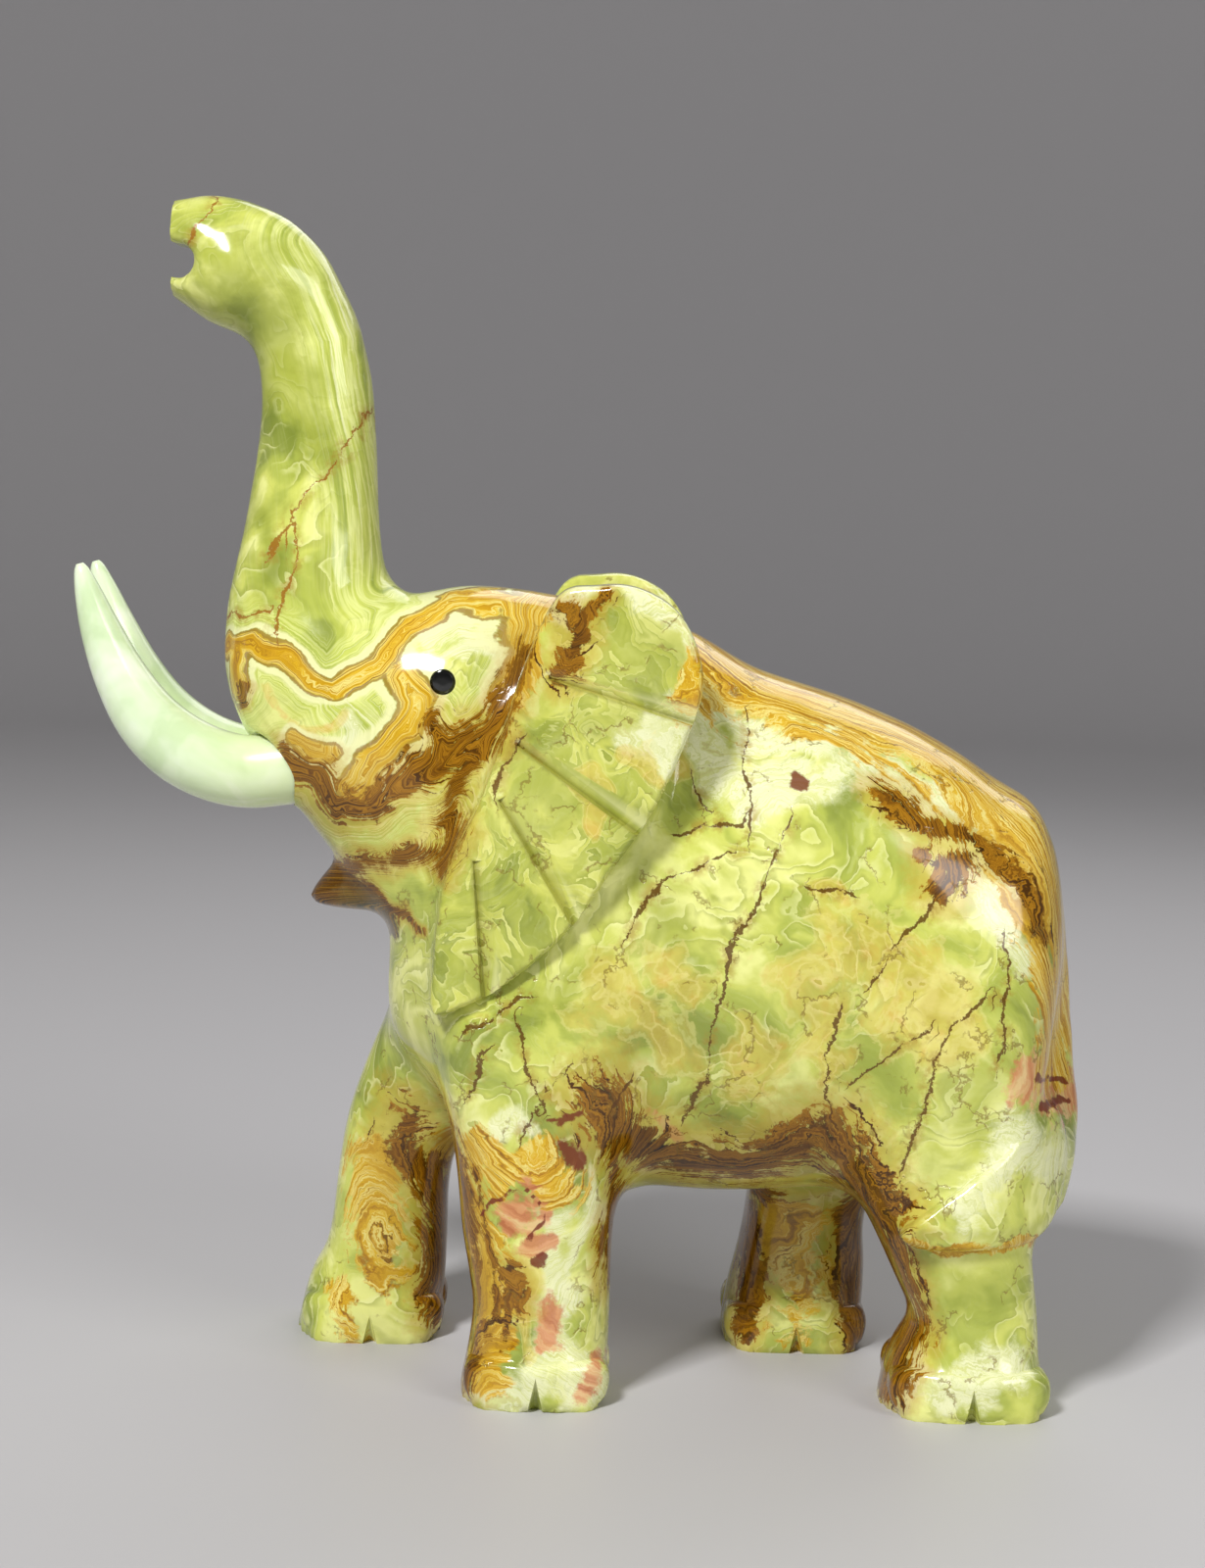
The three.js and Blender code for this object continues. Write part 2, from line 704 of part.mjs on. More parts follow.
function eyeDisc(sign) {
  const diameter = EYE_HOLE_DIAMETER - 2 * EYE_CLEARANCE;
  const crown = diameter / 8;
  const base = EYE_DISC_RECESS + EYE_DISC_THICKNESS;
  const profile = [[0, -base], [diameter / 2, -base], [diameter / 2, -EYE_DISC_RECESS - crown]];
  profile.push([diameter * 0.4, -EYE_DISC_RECESS - crown * 0.45]);
  profile.push([diameter * 0.22, -EYE_DISC_RECESS - crown * 0.1]);
  profile.push([0, -EYE_DISC_RECESS]);
  const geometry = new THREE.LatheGeometry(profile.map(([x, y]) => new THREE.Vector2(x, y)), EYE_SIDES);
  const turn = new THREE.Quaternion();
  turn.setFromUnitVectors(new THREE.Vector3(0, 1, 0), new THREE.Vector3(0, sign, 0));
  geometry.applyQuaternion(turn);
  geometry.translate(...eyePoint(sign, 0).toArray());
  return solid(geometry);
}

// A raised toe pad on each side of a foot, which its notch parts in two lobes
const FOOT_HEIGHT = 7; // the height in a leg's rows at which its foot is measured
const TOE_PAD_OUTLINE = [
  [-0.84, -0.4], [-0.92, 0.4], [-0.48, 1], [0, 0.9], [0.48, 1], [0.92, 0.4], [0.84, -0.4],
];
const TOE_PAD_BEND = 3; // how far the pad's ends turn back round the foot

function footOf(rows) {
  const [x, y, , across, deep] = rows.find((row) => row[2] === FOOT_HEIGHT);
  return { x, y, across, deep };
}

function toePad(foot, sign) {
  const outline = TOE_PAD_OUTLINE.map(([along, rise]) => [
    foot.x + along * foot.deep,
    DRAWN_FLOOR + rise * TOE_PAD_HEIGHT / SHARE,
  ]);
  const face = (sign * foot.y + foot.across) * SHARE + TOE_PAD_PROUD;
  return flap(outline, [foot.x, DRAWN_FLOOR + foot.across / 4], sign, {
    thickness: TOE_PAD_THICKNESS,
    rounding: TOE_PAD_ROUNDING,
    facePlace: (x) => face - TOE_PAD_BEND * ((x / SHARE - foot.x) / foot.deep) ** 2,
    steps: 1,
  });
}

function toeNotch(foot, sign) {
  const face = foot.y * SHARE + sign * (foot.across * SHARE + TOE_PAD_PROUD);
  const top = new THREE.Vector3(foot.x * SHARE, face - sign * TOE_NOTCH_DEPTH / 4, FLOOR + TOE_NOTCH_HEIGHT);
  const foreEnd = new THREE.Vector3(foot.x * SHARE, face, FLOOR);
  const outward = new THREE.Vector3(0, sign, 0);
  return solid(vCutter(top, foreEnd, outward, TOE_NOTCH_WIDTH, TOE_NOTCH_DEPTH));
}

// The trunk's end: cut off flat, with a round bite across it
const TRUNK_END = -111;
const TRUNK_BITE = [-109, 279.2];
const BITE_SIDES = 12;

function makeBody() {
  const low = new THREE.Vector3(-132, -68, -26).multiplyScalar(SHARE);
  const high = new THREE.Vector3(138, 68, 314).multiplyScalar(SHARE);
  let body = solid(carve(clayField, low, high, FACET));
  const signs = Object.values(SIDES);
  const feet = Object.values(LEGS).map(footOf);
  signs.forEach((sign) => {
    body = body.add(makeEar(sign));
  });
  body = body.add(solid(sweep(LIP_ROWS, LIP_SIDES, SQUARE, 2)));
  body = body.add(flap(TUFT_OUTLINE, TUFT_HEART, SIDES.left, {
    thickness: TUFT_THICKNESS,
    rounding: TUFT_ROUNDING,
    facePlace: tuftPlace,
  }));
  feet.forEach((foot) => {
    signs.forEach((sign) => {
      body = body.add(toePad(foot, sign));
    });
  });
  feet.forEach((foot) => {
    signs.forEach((sign) => {
      body = body.subtract(toeNotch(foot, sign));
    });
  });
  signs.forEach((sign) => {
    body = body.subtract(tuskSeat(sign));
    body = body.subtract(eyeHole(sign));
  });
  const [biteX, biteZ] = TRUNK_BITE;
  const biteStart = new THREE.Vector3(biteX, -40, biteZ).multiplyScalar(SHARE);
  const biteEnd = new THREE.Vector3(biteX, 40, biteZ).multiplyScalar(SHARE);
  body = body.subtract(solid(bar(biteStart, biteEnd, TRUNK_BITE_DIAMETER, BITE_SIDES)));
  const waste = FIGURE_HEIGHT;
  const tipCut = new THREE.BoxGeometry(waste, waste, waste / 3);
  tipCut.translate(TRUNK_END * SHARE - waste / 2, 0, FIGURE_HEIGHT);
  body = body.subtract(solid(tipCut));
  const ground = new THREE.BoxGeometry(2 * waste, waste, waste);
  ground.translate(0, 0, FLOOR - waste / 2);
  return body.subtract(solid(ground));
}

const greenOnyx = new THREE.MeshStandardMaterial({ color: 0xb9c768, roughness: 0.12, metalness: 0 });
const whiteOnyx = new THREE.MeshStandardMaterial({ color: 0xdff0cf, roughness: 0.15, metalness: 0 });
const blackStone = new THREE.MeshStandardMaterial({ color: 0x0b0c0b, roughness: 0.1, metalness: 0 });

const elephant = new THREE.Group();
const body = makeBody();
elephant.add(toMesh('elephant_body', body, greenOnyx));
Object.entries(SIDES).forEach(([side, sign]) => {
  elephant.add(toMesh(`tusk_${side}`, makeTusk(sign), whiteOnyx));
  elephant.add(toMesh(`eye_${side}`, eyeDisc(sign), blackStone));
});

// The origin is the middle of the figure's plan, on the floor
const reach = new THREE.Box3().setFromObject(elephant);
const middle = reach.getCenter(new THREE.Vector3());
elephant.position.set(-middle.x, -middle.y, -reach.min.z);

export default elephant;
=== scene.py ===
# Carved onyx elephant with a raised trunk, white tusks and black eyes
import math

import bpy
import numpy as np
from mathutils import Matrix, Vector


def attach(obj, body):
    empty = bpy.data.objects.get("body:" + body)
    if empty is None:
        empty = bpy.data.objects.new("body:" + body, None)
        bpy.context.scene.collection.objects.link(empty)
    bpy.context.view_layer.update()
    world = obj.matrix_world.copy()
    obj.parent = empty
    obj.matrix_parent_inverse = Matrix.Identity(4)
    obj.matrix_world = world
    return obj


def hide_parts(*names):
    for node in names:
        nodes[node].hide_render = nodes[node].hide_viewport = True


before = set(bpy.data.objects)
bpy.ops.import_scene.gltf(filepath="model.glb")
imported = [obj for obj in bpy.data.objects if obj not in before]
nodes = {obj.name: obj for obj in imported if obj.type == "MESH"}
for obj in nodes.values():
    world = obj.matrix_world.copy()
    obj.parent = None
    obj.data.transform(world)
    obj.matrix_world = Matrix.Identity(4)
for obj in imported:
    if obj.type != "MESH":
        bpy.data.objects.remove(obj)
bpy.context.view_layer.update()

mm = 0.001
# The part's source draws its free forms for a figure this tall, on a floor at this height, and with
# its middle here; the outlines below are drawn alike and turned into the frame's millimetres
drawnSet = {"figure": 300, "height": 299, "floor": -2.2, "middle": -5.1}
leftSide = -1
rightSide = 1


def drawn(rows):
    share = drawnSet["figure"] / drawnSet["height"]
    placed = []
    for x, z, *others in rows:
        placed.append(((x - drawnSet["middle"]) * share, (z - drawnSet["floor"]) * share, *others))
    return placed


def deselectAll():
    if bpy.context.object and bpy.context.object.mode != "OBJECT":
        bpy.ops.object.mode_set(mode="OBJECT")
    bpy.ops.object.select_all(action="DESELECT")


def pick(*pieces):
    deselectAll()
    for piece in pieces:
        piece.select_set(True)
    bpy.context.view_layer.objects.active = pieces[0]


def applyPlace(piece):
    pick(piece)
    bpy.ops.object.transform_apply(location=True, rotation=True, scale=True)


def applyModifiers(piece):
    pick(piece)
    for modifier in list(piece.modifiers):
        bpy.ops.object.modifier_apply(modifier=modifier.name)


def joinPieces(name, *pieces):
    pick(*pieces)
    bpy.ops.object.join()
    joined = bpy.context.object
    joined.name = name
    return joined


def voxelSkin(piece, size):
    remesh = piece.modifiers.new("skin", "REMESH")
    remesh.mode = "VOXEL"
    remesh.voxel_size = size * mm
    applyModifiers(piece)


def melt(piece, steps):
    smooth = piece.modifiers.new("melt", "SMOOTH")
    smooth.factor = 0.5
    smooth.iterations = steps
    applyModifiers(piece)


def cutAway(piece, cutter):
    cut = piece.modifiers.new("cut", "BOOLEAN")
    cut.operation = "DIFFERENCE"
    cut.solver = "MANIFOLD"
    cut.object = cutter
    applyModifiers(piece)
    bpy.data.objects.remove(cutter)


def addOn(piece, extra):
    union = piece.modifiers.new("union", "BOOLEAN")
    union.operation = "UNION"
    union.solver = "MANIFOLD"
    union.object = extra
    applyModifiers(piece)
    bpy.data.objects.remove(extra)


def waste(low, high, shift):
    # a plain block between two corners, shifted, for cutting flats
    deselectAll()
    low = Vector(low)
    high = Vector(high)
    middle = ((low + high) / 2 + Vector(shift)) * mm
    bpy.ops.mesh.primitive_cube_add(size=1, location=middle)
    block = bpy.context.object
    block.scale = (high - low) * mm
    applyPlace(block)
    return block


def faceOutwards(piece):
    pick(piece)
    bpy.ops.object.mode_set(mode="EDIT")
    bpy.ops.mesh.select_all(action="SELECT")
    bpy.ops.mesh.normals_make_consistent(inside=False)
    bpy.ops.object.mode_set(mode="OBJECT")


def extrudePlane(piece, axis, place, travel):
    # pulls the flat faces at one place of an axis further out
    pick(piece)
    bpy.ops.object.mode_set(mode="EDIT")
    bpy.ops.mesh.select_mode(type="FACE")
    bpy.ops.mesh.select_all(action="DESELECT")
    bpy.ops.object.mode_set(mode="OBJECT")
    for polygon in piece.data.polygons:
        polygon.select = all(
            abs(piece.data.vertices[index].co[axis] - place) < 0.05 * mm for index in polygon.vertices
        )
    bpy.ops.object.mode_set(mode="EDIT")
    bpy.ops.mesh.extrude_region_move(TRANSFORM_OT_translate={"value": travel})
    bpy.ops.object.mode_set(mode="OBJECT")


def between(before, start, end, after, t):
    # a place on the smooth line from start to end
    slopeIn = (end - before) / 2
    slopeOut = (after - start) / 2
    rise = end - start
    cubic = slopeIn + slopeOut - 2 * rise
    square = 3 * rise - 2 * slopeIn - slopeOut
    return ((cubic * t + square) * t + slopeIn) * t + start


def roundedOutline(outline, steps):
    # closed smooth line through a few outline points
    count = len(outline)
    points = [Vector(point) for point in outline]
    rim = []
    for index in range(count):
        before, start, end, after = (points[(index + shift) % count] for shift in (-1, 0, 1, 2))
        rim += [between(before, start, end, after, step / steps) for step in range(steps)]
    return rim


def flapPiece(name, pieceSet, outline, placeOf):
    # a slab with round edges cut to an outline in the side view, then bent by placeOf(x, depth, z)
    rim = roundedOutline(outline, pieceSet["steps"])
    deselectAll()
    bpy.ops.mesh.primitive_circle_add(vertices=len(rim), radius=0.01, fill_type="NGON")
    piece = bpy.context.object
    piece.name = name
    for vertex, point in zip(piece.data.vertices, rim):
        vertex.co = (point[0] * mm, 0, point[1] * mm)
    bpy.ops.object.mode_set(mode="EDIT")
    bpy.ops.mesh.select_all(action="SELECT")
    bpy.ops.mesh.extrude_region_move(TRANSFORM_OT_translate={"value": (0, pieceSet["thick"] * mm, 0)})
    bpy.ops.object.mode_set(mode="OBJECT")
    faceOutwards(piece)
    bevel = piece.modifiers.new("edge", "BEVEL")
    bevel.width = pieceSet["rounding"] * mm
    bevel.segments = 4
    bevel.limit_method = "ANGLE"
    bevel.angle_limit = math.radians(50)
    applyModifiers(piece)
    voxelSkin(piece, pieceSet["voxel"])
    melt(piece, 2)
    for vertex in piece.data.vertices:
        x, depth, z = (value / mm for value in vertex.co)
        vertex.co = Vector((x, placeOf(x, depth, z), z)) * mm
    faceOutwards(piece)
    return piece


# Body: the carving's main mass, melted smooth
bodySet = {
    "softVoxel": 1.6,
    "meltSteps": 14,
    "voxel": 1.48,
    "polishSteps": 3,
    "spare": 0.4,
    "trunkEnd": -106.3,
    "growth": 9,
    "biteX": -104.3,
    "biteZ": 282.3,
    "biteRadius": 4.3,
    "biteReach": 40,
    "soleWaste": ((-200, -100, -40), (200, 100, 0)),
    "endWaste": ((-40, -60, 240), (0, 60, 320)),
}


def softMass():
    stone = bpy.data.objects.new("elephant_stone", nodes["elephant_body"].data.copy())
    bpy.context.scene.collection.objects.link(stone)
    stone.data.materials.clear()
    pick(stone)
    bpy.ops.object.mode_set(mode="EDIT")
    bpy.ops.mesh.select_all(action="SELECT")
    bpy.ops.mesh.remove_doubles(threshold=0.01 * mm)
    bpy.ops.object.mode_set(mode="OBJECT")
    extrudePlane(stone, 2, 0, (0, 0, -bodySet["growth"] * mm))
    extrudePlane(stone, 0, bodySet["trunkEnd"] * mm, (-bodySet["growth"] * mm, 0, 0))
    return stone


def cutFlats(piece, spare):
    # the soles of the feet and the end of the trunk
    cutAway(piece, waste(*bodySet["soleWaste"], (0, 0, -spare)))
    cutAway(piece, waste(*bodySet["endWaste"], (bodySet["trunkEnd"] - spare, 0, 0)))


stone = softMass()
print("soft mass: faces", len(stone.data.polygons))


# Plugs in the drilled holes, so that they don't leave dimples when the mass is melted
eyeSet = {
    "x": -35.1,
    "z": 179.1,
    "cheek": 29.4,
    "hole": 6.4,
    "recess": 1.3,
    "thick": 3.0,
    "gap": 0.3,
    "drillOutside": 9,
    "dome": [(0.2, 0.14), (0.4, 0.1), (0.6, 0.08), (0.7, 0.03), (0.5, 0.0)],
}
tuskSet = {
    "side": 12.34,
    "root": 9.33,
    "gap": 0.3,
    "seat": 20.7,
    "drop": 0.11,
    "drillOutside": 25,
    "steps": 5,
    "line": drawn([
        (-90, 151.4, 1), (-99.2, 153.2, 1), (-108, 157.6, 0.97), (-115.8, 164.8, 0.88),
        (-122.2, 174.8, 0.73), (-127.2, 186, 0.56), (-130.4, 195.2, 0.38), (-132.2, 201, 0.22),
        (-132.8, 203, 0.1),
    ]),
}


def drillBar(start, end, radius):
    start = Vector(start) * mm
    end = Vector(end) * mm
    deselectAll()
    bpy.ops.mesh.primitive_cylinder_add(vertices=48, radius=radius * mm, depth=(end - start).length)
    bar = bpy.context.object
    turn = (end - start).to_track_quat("Z", "Y").to_matrix().to_4x4()
    bar.matrix_world = Matrix.Translation((start + end) / 2) @ turn
    applyPlace(bar)
    return bar


def trunkBite():
    x, z, reach = bodySet["biteX"], bodySet["biteZ"], bodySet["biteReach"]
    return drillBar((x, -reach, z), (x, reach, z), bodySet["biteRadius"])


def tuskSeat(side, outside, extra):
    x, z, _ = tuskSet["line"][0]
    inside = tuskSet["seat"]
    y = side * tuskSet["side"]
    deep = (x + inside, y, z + inside * tuskSet["drop"])
    out = (x - outside, y, z - outside * tuskSet["drop"])
    return drillBar(deep, out, tuskSet["root"] + extra)


def eyeDrill(side, inside, outside, extra):
    x, z = eyeSet["x"], eyeSet["z"]
    start = (x, side * (eyeSet["cheek"] - inside), z)
    end = (x, side * (eyeSet["cheek"] + outside), z)
    return drillBar(start, end, eyeSet["hole"] / 2 + extra)


# Ears, lip, tuft of the tail and toe pads, cut crisp and set into the mass
earSet = {
    "outline": drawn([
        (-12, 198.7), (-2.3, 201.5), (6, 201.6), (14.2, 198.2), (19.4, 193), (22.8, 185), (23.6, 177),
        (20.6, 166.5), (13, 148.4), (2.2, 131.9), (-5.9, 119.5), (-15.4, 109.5), (-24.3, 102.3),
        (-31.8, 98.1), (-38.6, 95.3), (-41, 97.2), (-40.3, 112), (-37.6, 131), (-30.6, 146),
        (-25.2, 162), (-20.6, 179.3),
    ]),
    "steps": 4,
    "voxel": 1.2,
    "thick": 12.6,
    "rounding": 5.2,
    "frontX": -36.0,
    "front": 44.0,
    "flare": 0.13,
    "pleats": [
        drawn([(-13.5, 179), (23.6, 168.4)]),
        drawn([(-21, 162.7), (10.7, 140.6)]),
        drawn([(-25.2, 149.1), (-4.8, 116.8)]),
        drawn([(-31, 134), (-27.8, 99)]),
    ],
    "pleatWide": 5.2,
    "pleatSteep": 0.7,
    "pleatDeep": 2.3,
    "pleatStart": 0.34,
    "pleatRise": 1.0,
    "bedDeep": 4.5,
    "bedNear": 0.5,
    "bedFar": 13.0,
    "bedRise": 4.0,
    "frontRows": 6,
    "frontNear": -3,
    "frontFar": -2,
}


def earPlace(x):
    return earSet["front"] + earSet["flare"] * (x - earSet["frontX"])


def makeEar(side):
    return flapPiece(
        "ear", earSet, earSet["outline"],
        lambda x, depth, z: side * (earPlace(x) - depth),
    )


def earBed(side):
    # lowers the mass round the ear, so that the ear stands proud of it; the front edge stays flush
    outline = [Vector(point) for point in earSet["outline"]]
    count = len(outline)
    near = []
    far = []
    for index, point in enumerate(outline):
        along = (outline[(index + 1) % count] - outline[index - 1]).normalized()
        outwards = Vector((-along.y, along.x))
        flush = index == 0 or index > count - earSet["frontRows"]
        near.append(point + outwards * earSet["frontNear" if flush else "bedNear"])
        far.append(point + outwards * earSet["frontFar" if flush else "bedFar"])
    near = roundedOutline(near, 3)
    far = roundedOutline(far, 3)
    deselectAll()
    bpy.ops.mesh.primitive_circle_add(vertices=len(near), radius=0.01, fill_type="NGON")
    bed = bpy.context.object
    bpy.ops.object.mode_set(mode="EDIT")
    bpy.ops.mesh.select_all(action="SELECT")
    bpy.ops.mesh.extrude_region_move(TRANSFORM_OT_translate={"value": (0, 0, 0.01)})
    bpy.ops.object.mode_set(mode="OBJECT")
    for index, (x, z) in enumerate(near + far):
        deep = -earSet["bedDeep"] if index < len(near) else earSet["bedRise"]
        bed.data.vertices[index].co = (x * mm, side * (earPlace(x) + deep) * mm, z * mm)
    faceOutwards(bed)
    return bed


def pleatCutter(side, inner, rim):
    # a groove steep on one side and gentle on the other, wider and deeper towards the rim
    start = Vector((inner[0], side * (earPlace(inner[0]) + 0.05), inner[1])) * mm
    end = Vector((rim[0], side * earPlace(rim[0]), rim[1])) * mm
    along = (start - end).normalized()
    out = Vector((-earSet["flare"], side, 0))
    out = (out - along * out.dot(along)).normalized()
    across = Vector((along.z, 0, -along.x)).normalized()
    rise = earSet["pleatRise"]
    grow = 1 + rise / earSet["pleatDeep"]
    deselectAll()
    bpy.ops.mesh.primitive_circle_add(vertices=3, radius=0.01, fill_type="NGON")
    groove = bpy.context.object
    corners = (
        end - across * earSet["pleatSteep"] * grow * mm + out * rise * mm,
        end + across * earSet["pleatWide"] * grow * mm + out * rise * mm,
        end - out * earSet["pleatDeep"] * mm,
    )
    for vertex, corner in zip(groove.data.vertices, corners):
        vertex.co = corner
    bpy.ops.object.mode_set(mode="EDIT")
    bpy.ops.mesh.select_all(action="SELECT")
    bpy.ops.mesh.extrude_region_move(TRANSFORM_OT_translate={"value": start - end})
    share = earSet["pleatStart"]
    bpy.ops.transform.resize(value=(share, share, share), center_override=start)
    bpy.ops.object.mode_set(mode="OBJECT")
    faceOutwards(groove)
    return groove


lipSet = {
    # places and the lip's half widths across and in the side view
    "line": drawn([
        (-43, 124.6, 15, 9), (-56, 123.4, 14.6, 8.7), (-63, 122.6, 12.6, 7.5),
        (-69, 120.6, 9.5, 5), (-73, 119, 5.8, 2.7), (-74.8, 118.5, 3, 1.3),
    ]),
}


def makeLip():
    # a ring drawn out along the lip and narrowed to its tip
    deselectAll()
    x, z, across, deep = lipSet["line"][0]
    bpy.ops.mesh.primitive_circle_add(vertices=32, radius=mm, fill_type="NGON")
    lip = bpy.context.object
    lip.name = "lip"
    lip.rotation_euler = (0, math.pi / 2, 0)
    bpy.ops.object.transform_apply(location=False, rotation=True, scale=False)
    bpy.ops.object.mode_set(mode="EDIT")
    bpy.ops.mesh.select_all(action="SELECT")
    bpy.ops.transform.resize(value=(1, across, deep))
    bpy.ops.transform.translate(value=(x * mm, 0, z * mm))
    for nextX, nextZ, nextAcross, nextDeep in lipSet["line"][1:]:
        step = ((nextX - x) * mm, 0, (nextZ - z) * mm)
        bpy.ops.mesh.extrude_region_move(TRANSFORM_OT_translate={"value": step})
        centre = (nextX * mm, 0, nextZ * mm)
        bpy.ops.transform.resize(value=(1, nextAcross / across, nextDeep / deep), center_override=centre)
        x, z, across, deep = nextX, nextZ, nextAcross, nextDeep
    bpy.ops.object.mode_set(mode="OBJECT")
    faceOutwards(lip)
    subdivision = lip.modifiers.new("round", "SUBSURF")
    subdivision.levels = 2
    subdivision.render_levels = 2
    applyModifiers(lip)
    return lip


tuftSet = {
    "outline": drawn([
        (75.4, 44.6), (82, 51), (92, 58.4), (101, 65.6), (108, 72), (115, 73.5), (118.6, 66),
        (119, 57.5), (116, 47.6), (109.5, 41.8), (95, 41), (81, 41.2),
    ]),
    "steps": 4,
    "voxel": 1.0,
    "thick": 15.4,
    "rounding": 1.4,
    "face": 53.0,
    "middleX": 95.4,
    "turn": 24,
    "turnPower": 2.2,
    "reach": 29.1,
    "ridge": 49.5,
    "under": 0.3,
    "over": 0.12,
}


def tuftPlace(x, depth, z):
    along = max((x - tuftSet["middleX"]) / tuftSet["reach"], 0)
    below = tuftSet["ridge"] - z
    facet = tuftSet["under"] * below if below > 0 else -tuftSet["over"] * below
    return leftSide * (tuftSet["face"] - tuftSet["turn"] * along ** tuftSet["turnPower"] - facet - depth)


footSet = {
    # middle x, middle y, half length, half width
    "feet": [
        (-8.1, -28.6, 18.0, 18.7), (-53.4, 28.6, 18.7, 18.7),
        (100.0, -29.1, 19.9, 19.7), (59.9, 28.6, 18.9, 19.3),
    ],
    "padOutline": [
        (-0.8, 0.02), (-1.0, 0.32), (-1.0, 0.72), (-0.84, 0.96), (-0.4, 1.0), (0, 0.96), (0.4, 1.0),
        (0.84, 0.96), (1.0, 0.72), (1.0, 0.32), (0.8, 0.02), (0, -0.02),
    ],
    "padHeight": 12.6,
    "padProud": 2.6,
    "padInside": 1.6,
    "padBend": 6.0,
    "steps": 3,
    "voxel": 1.3,
    "thick": 12,
    "rounding": 2.6,
    "notchWide": 2.0,
    "notchHeight": 9.0,
    "notchDeep": 4.6,
    "notchSpare": 10,
}


def toePad(foot, side):
    x, y, halfLength, halfWidth = foot
    height = footSet["padHeight"]
    outline = [(x + along * halfLength, rise * height) for along, rise in footSet["padOutline"]]
    face = side * y + halfWidth + footSet["padProud" if side * y > 0 else "padInside"]
    return flapPiece(
        "toePad", footSet, outline,
        lambda px, depth, pz: side * (face - footSet["padBend"] * ((px - x) / halfLength) ** 2 - depth),
    )


def toeNotch(foot, side):
    x, y, _, halfWidth = foot
    face = y + side * (halfWidth + footSet["padProud"])
    height = footSet["notchHeight"] + footSet["notchSpare"]
    deselectAll()
    bpy.ops.mesh.primitive_cone_add(vertices=24, radius1=mm, radius2=0, depth=height * mm)
    cone = bpy.context.object
    grow = height / footSet["notchHeight"]
    cone.scale = (footSet["notchWide"] * grow, footSet["notchDeep"] * grow, 1)
    cone.location = (x * mm, face * mm, (footSet["notchHeight"] - height / 2) * mm)
    applyPlace(cone)
    return cone


# how far each plug stays inside, and how much wider than its hole it is
plugSet = {"tuskInside": 9, "tuskExtra": 0.4, "eyeDeep": 6, "eyeInside": 0.3, "eyeExtra": 0.3}
plugs = []
for side in (leftSide, rightSide):
    plugs.append(tuskSeat(side, -plugSet["tuskInside"], plugSet["tuskExtra"]))
    plugs.append(eyeDrill(side, plugSet["eyeDeep"], -plugSet["eyeInside"], plugSet["eyeExtra"]))
stone = joinPieces("elephant_stone", stone, *plugs)
voxelSkin(stone, bodySet["softVoxel"])
for side in (leftSide, rightSide):
    cutAway(stone, earBed(side))
melt(stone, bodySet["meltSteps"])
print("melted: faces", len(stone.data.polygons))

stone = joinPieces("elephant_stone", stone, makeLip())
voxelSkin(stone, bodySet["voxel"])
cutAway(stone, trunkBite())
cutFlats(stone, bodySet["spare"])
voxelSkin(stone, bodySet["voxel"])
melt(stone, bodySet["polishSteps"])
print("polished: faces", len(stone.data.polygons))

for side in (leftSide, rightSide):
    addOn(stone, makeEar(side))
    for foot in footSet["feet"]:
        addOn(stone, toePad(foot, side))
addOn(stone, flapPiece("tuft", tuftSet, tuftSet["outline"], tuftPlace))
cutFlats(stone, 0)
print("set together: faces", len(stone.data.polygons))

for side in (leftSide, rightSide):
    for inner, rim in earSet["pleats"]:
        cutAway(stone, pleatCutter(side, inner, rim))
    for foot in footSet["feet"]:
        cutAway(stone, toeNotch(foot, side))
    eyeDeep = eyeSet["recess"] + eyeSet["thick"] + eyeSet["gap"]
    cutAway(stone, eyeDrill(side, eyeDeep, eyeSet["drillOutside"], 0))
    cutAway(stone, tuskSeat(side, tuskSet["drillOutside"], tuskSet["gap"]))
print("carved: triangles", sum(len(polygon.vertices) - 2 for polygon in stone.data.polygons))
pick(stone)
bpy.ops.object.shade_smooth_by_angle(angle=math.radians(40))


# Tusks: a curve that thins to its tip, made a mesh
def tuskLine():
    x, z, _ = tuskSet["line"][0]
    inside = tuskSet["seat"] - tuskSet["gap"]
    root = (x + inside, z + inside * tuskSet["drop"], 1)
    rows = [root, (x + inside / 2, z + inside * tuskSet["drop"] / 2, 1), *tuskSet["line"]]
    threaded = []
    for index in range(len(rows) - 1):
        near = (max(index - 1, 0), index, index + 1, min(index + 2, len(rows) - 1))
        before, start, end, after = (Vector(rows[place]) for place in near)
        for step in range(tuskSet["steps"]):
            threaded.append(between(before, start, end, after, step / tuskSet["steps"]))
    threaded.append(Vector(rows[-1]))
    return threaded


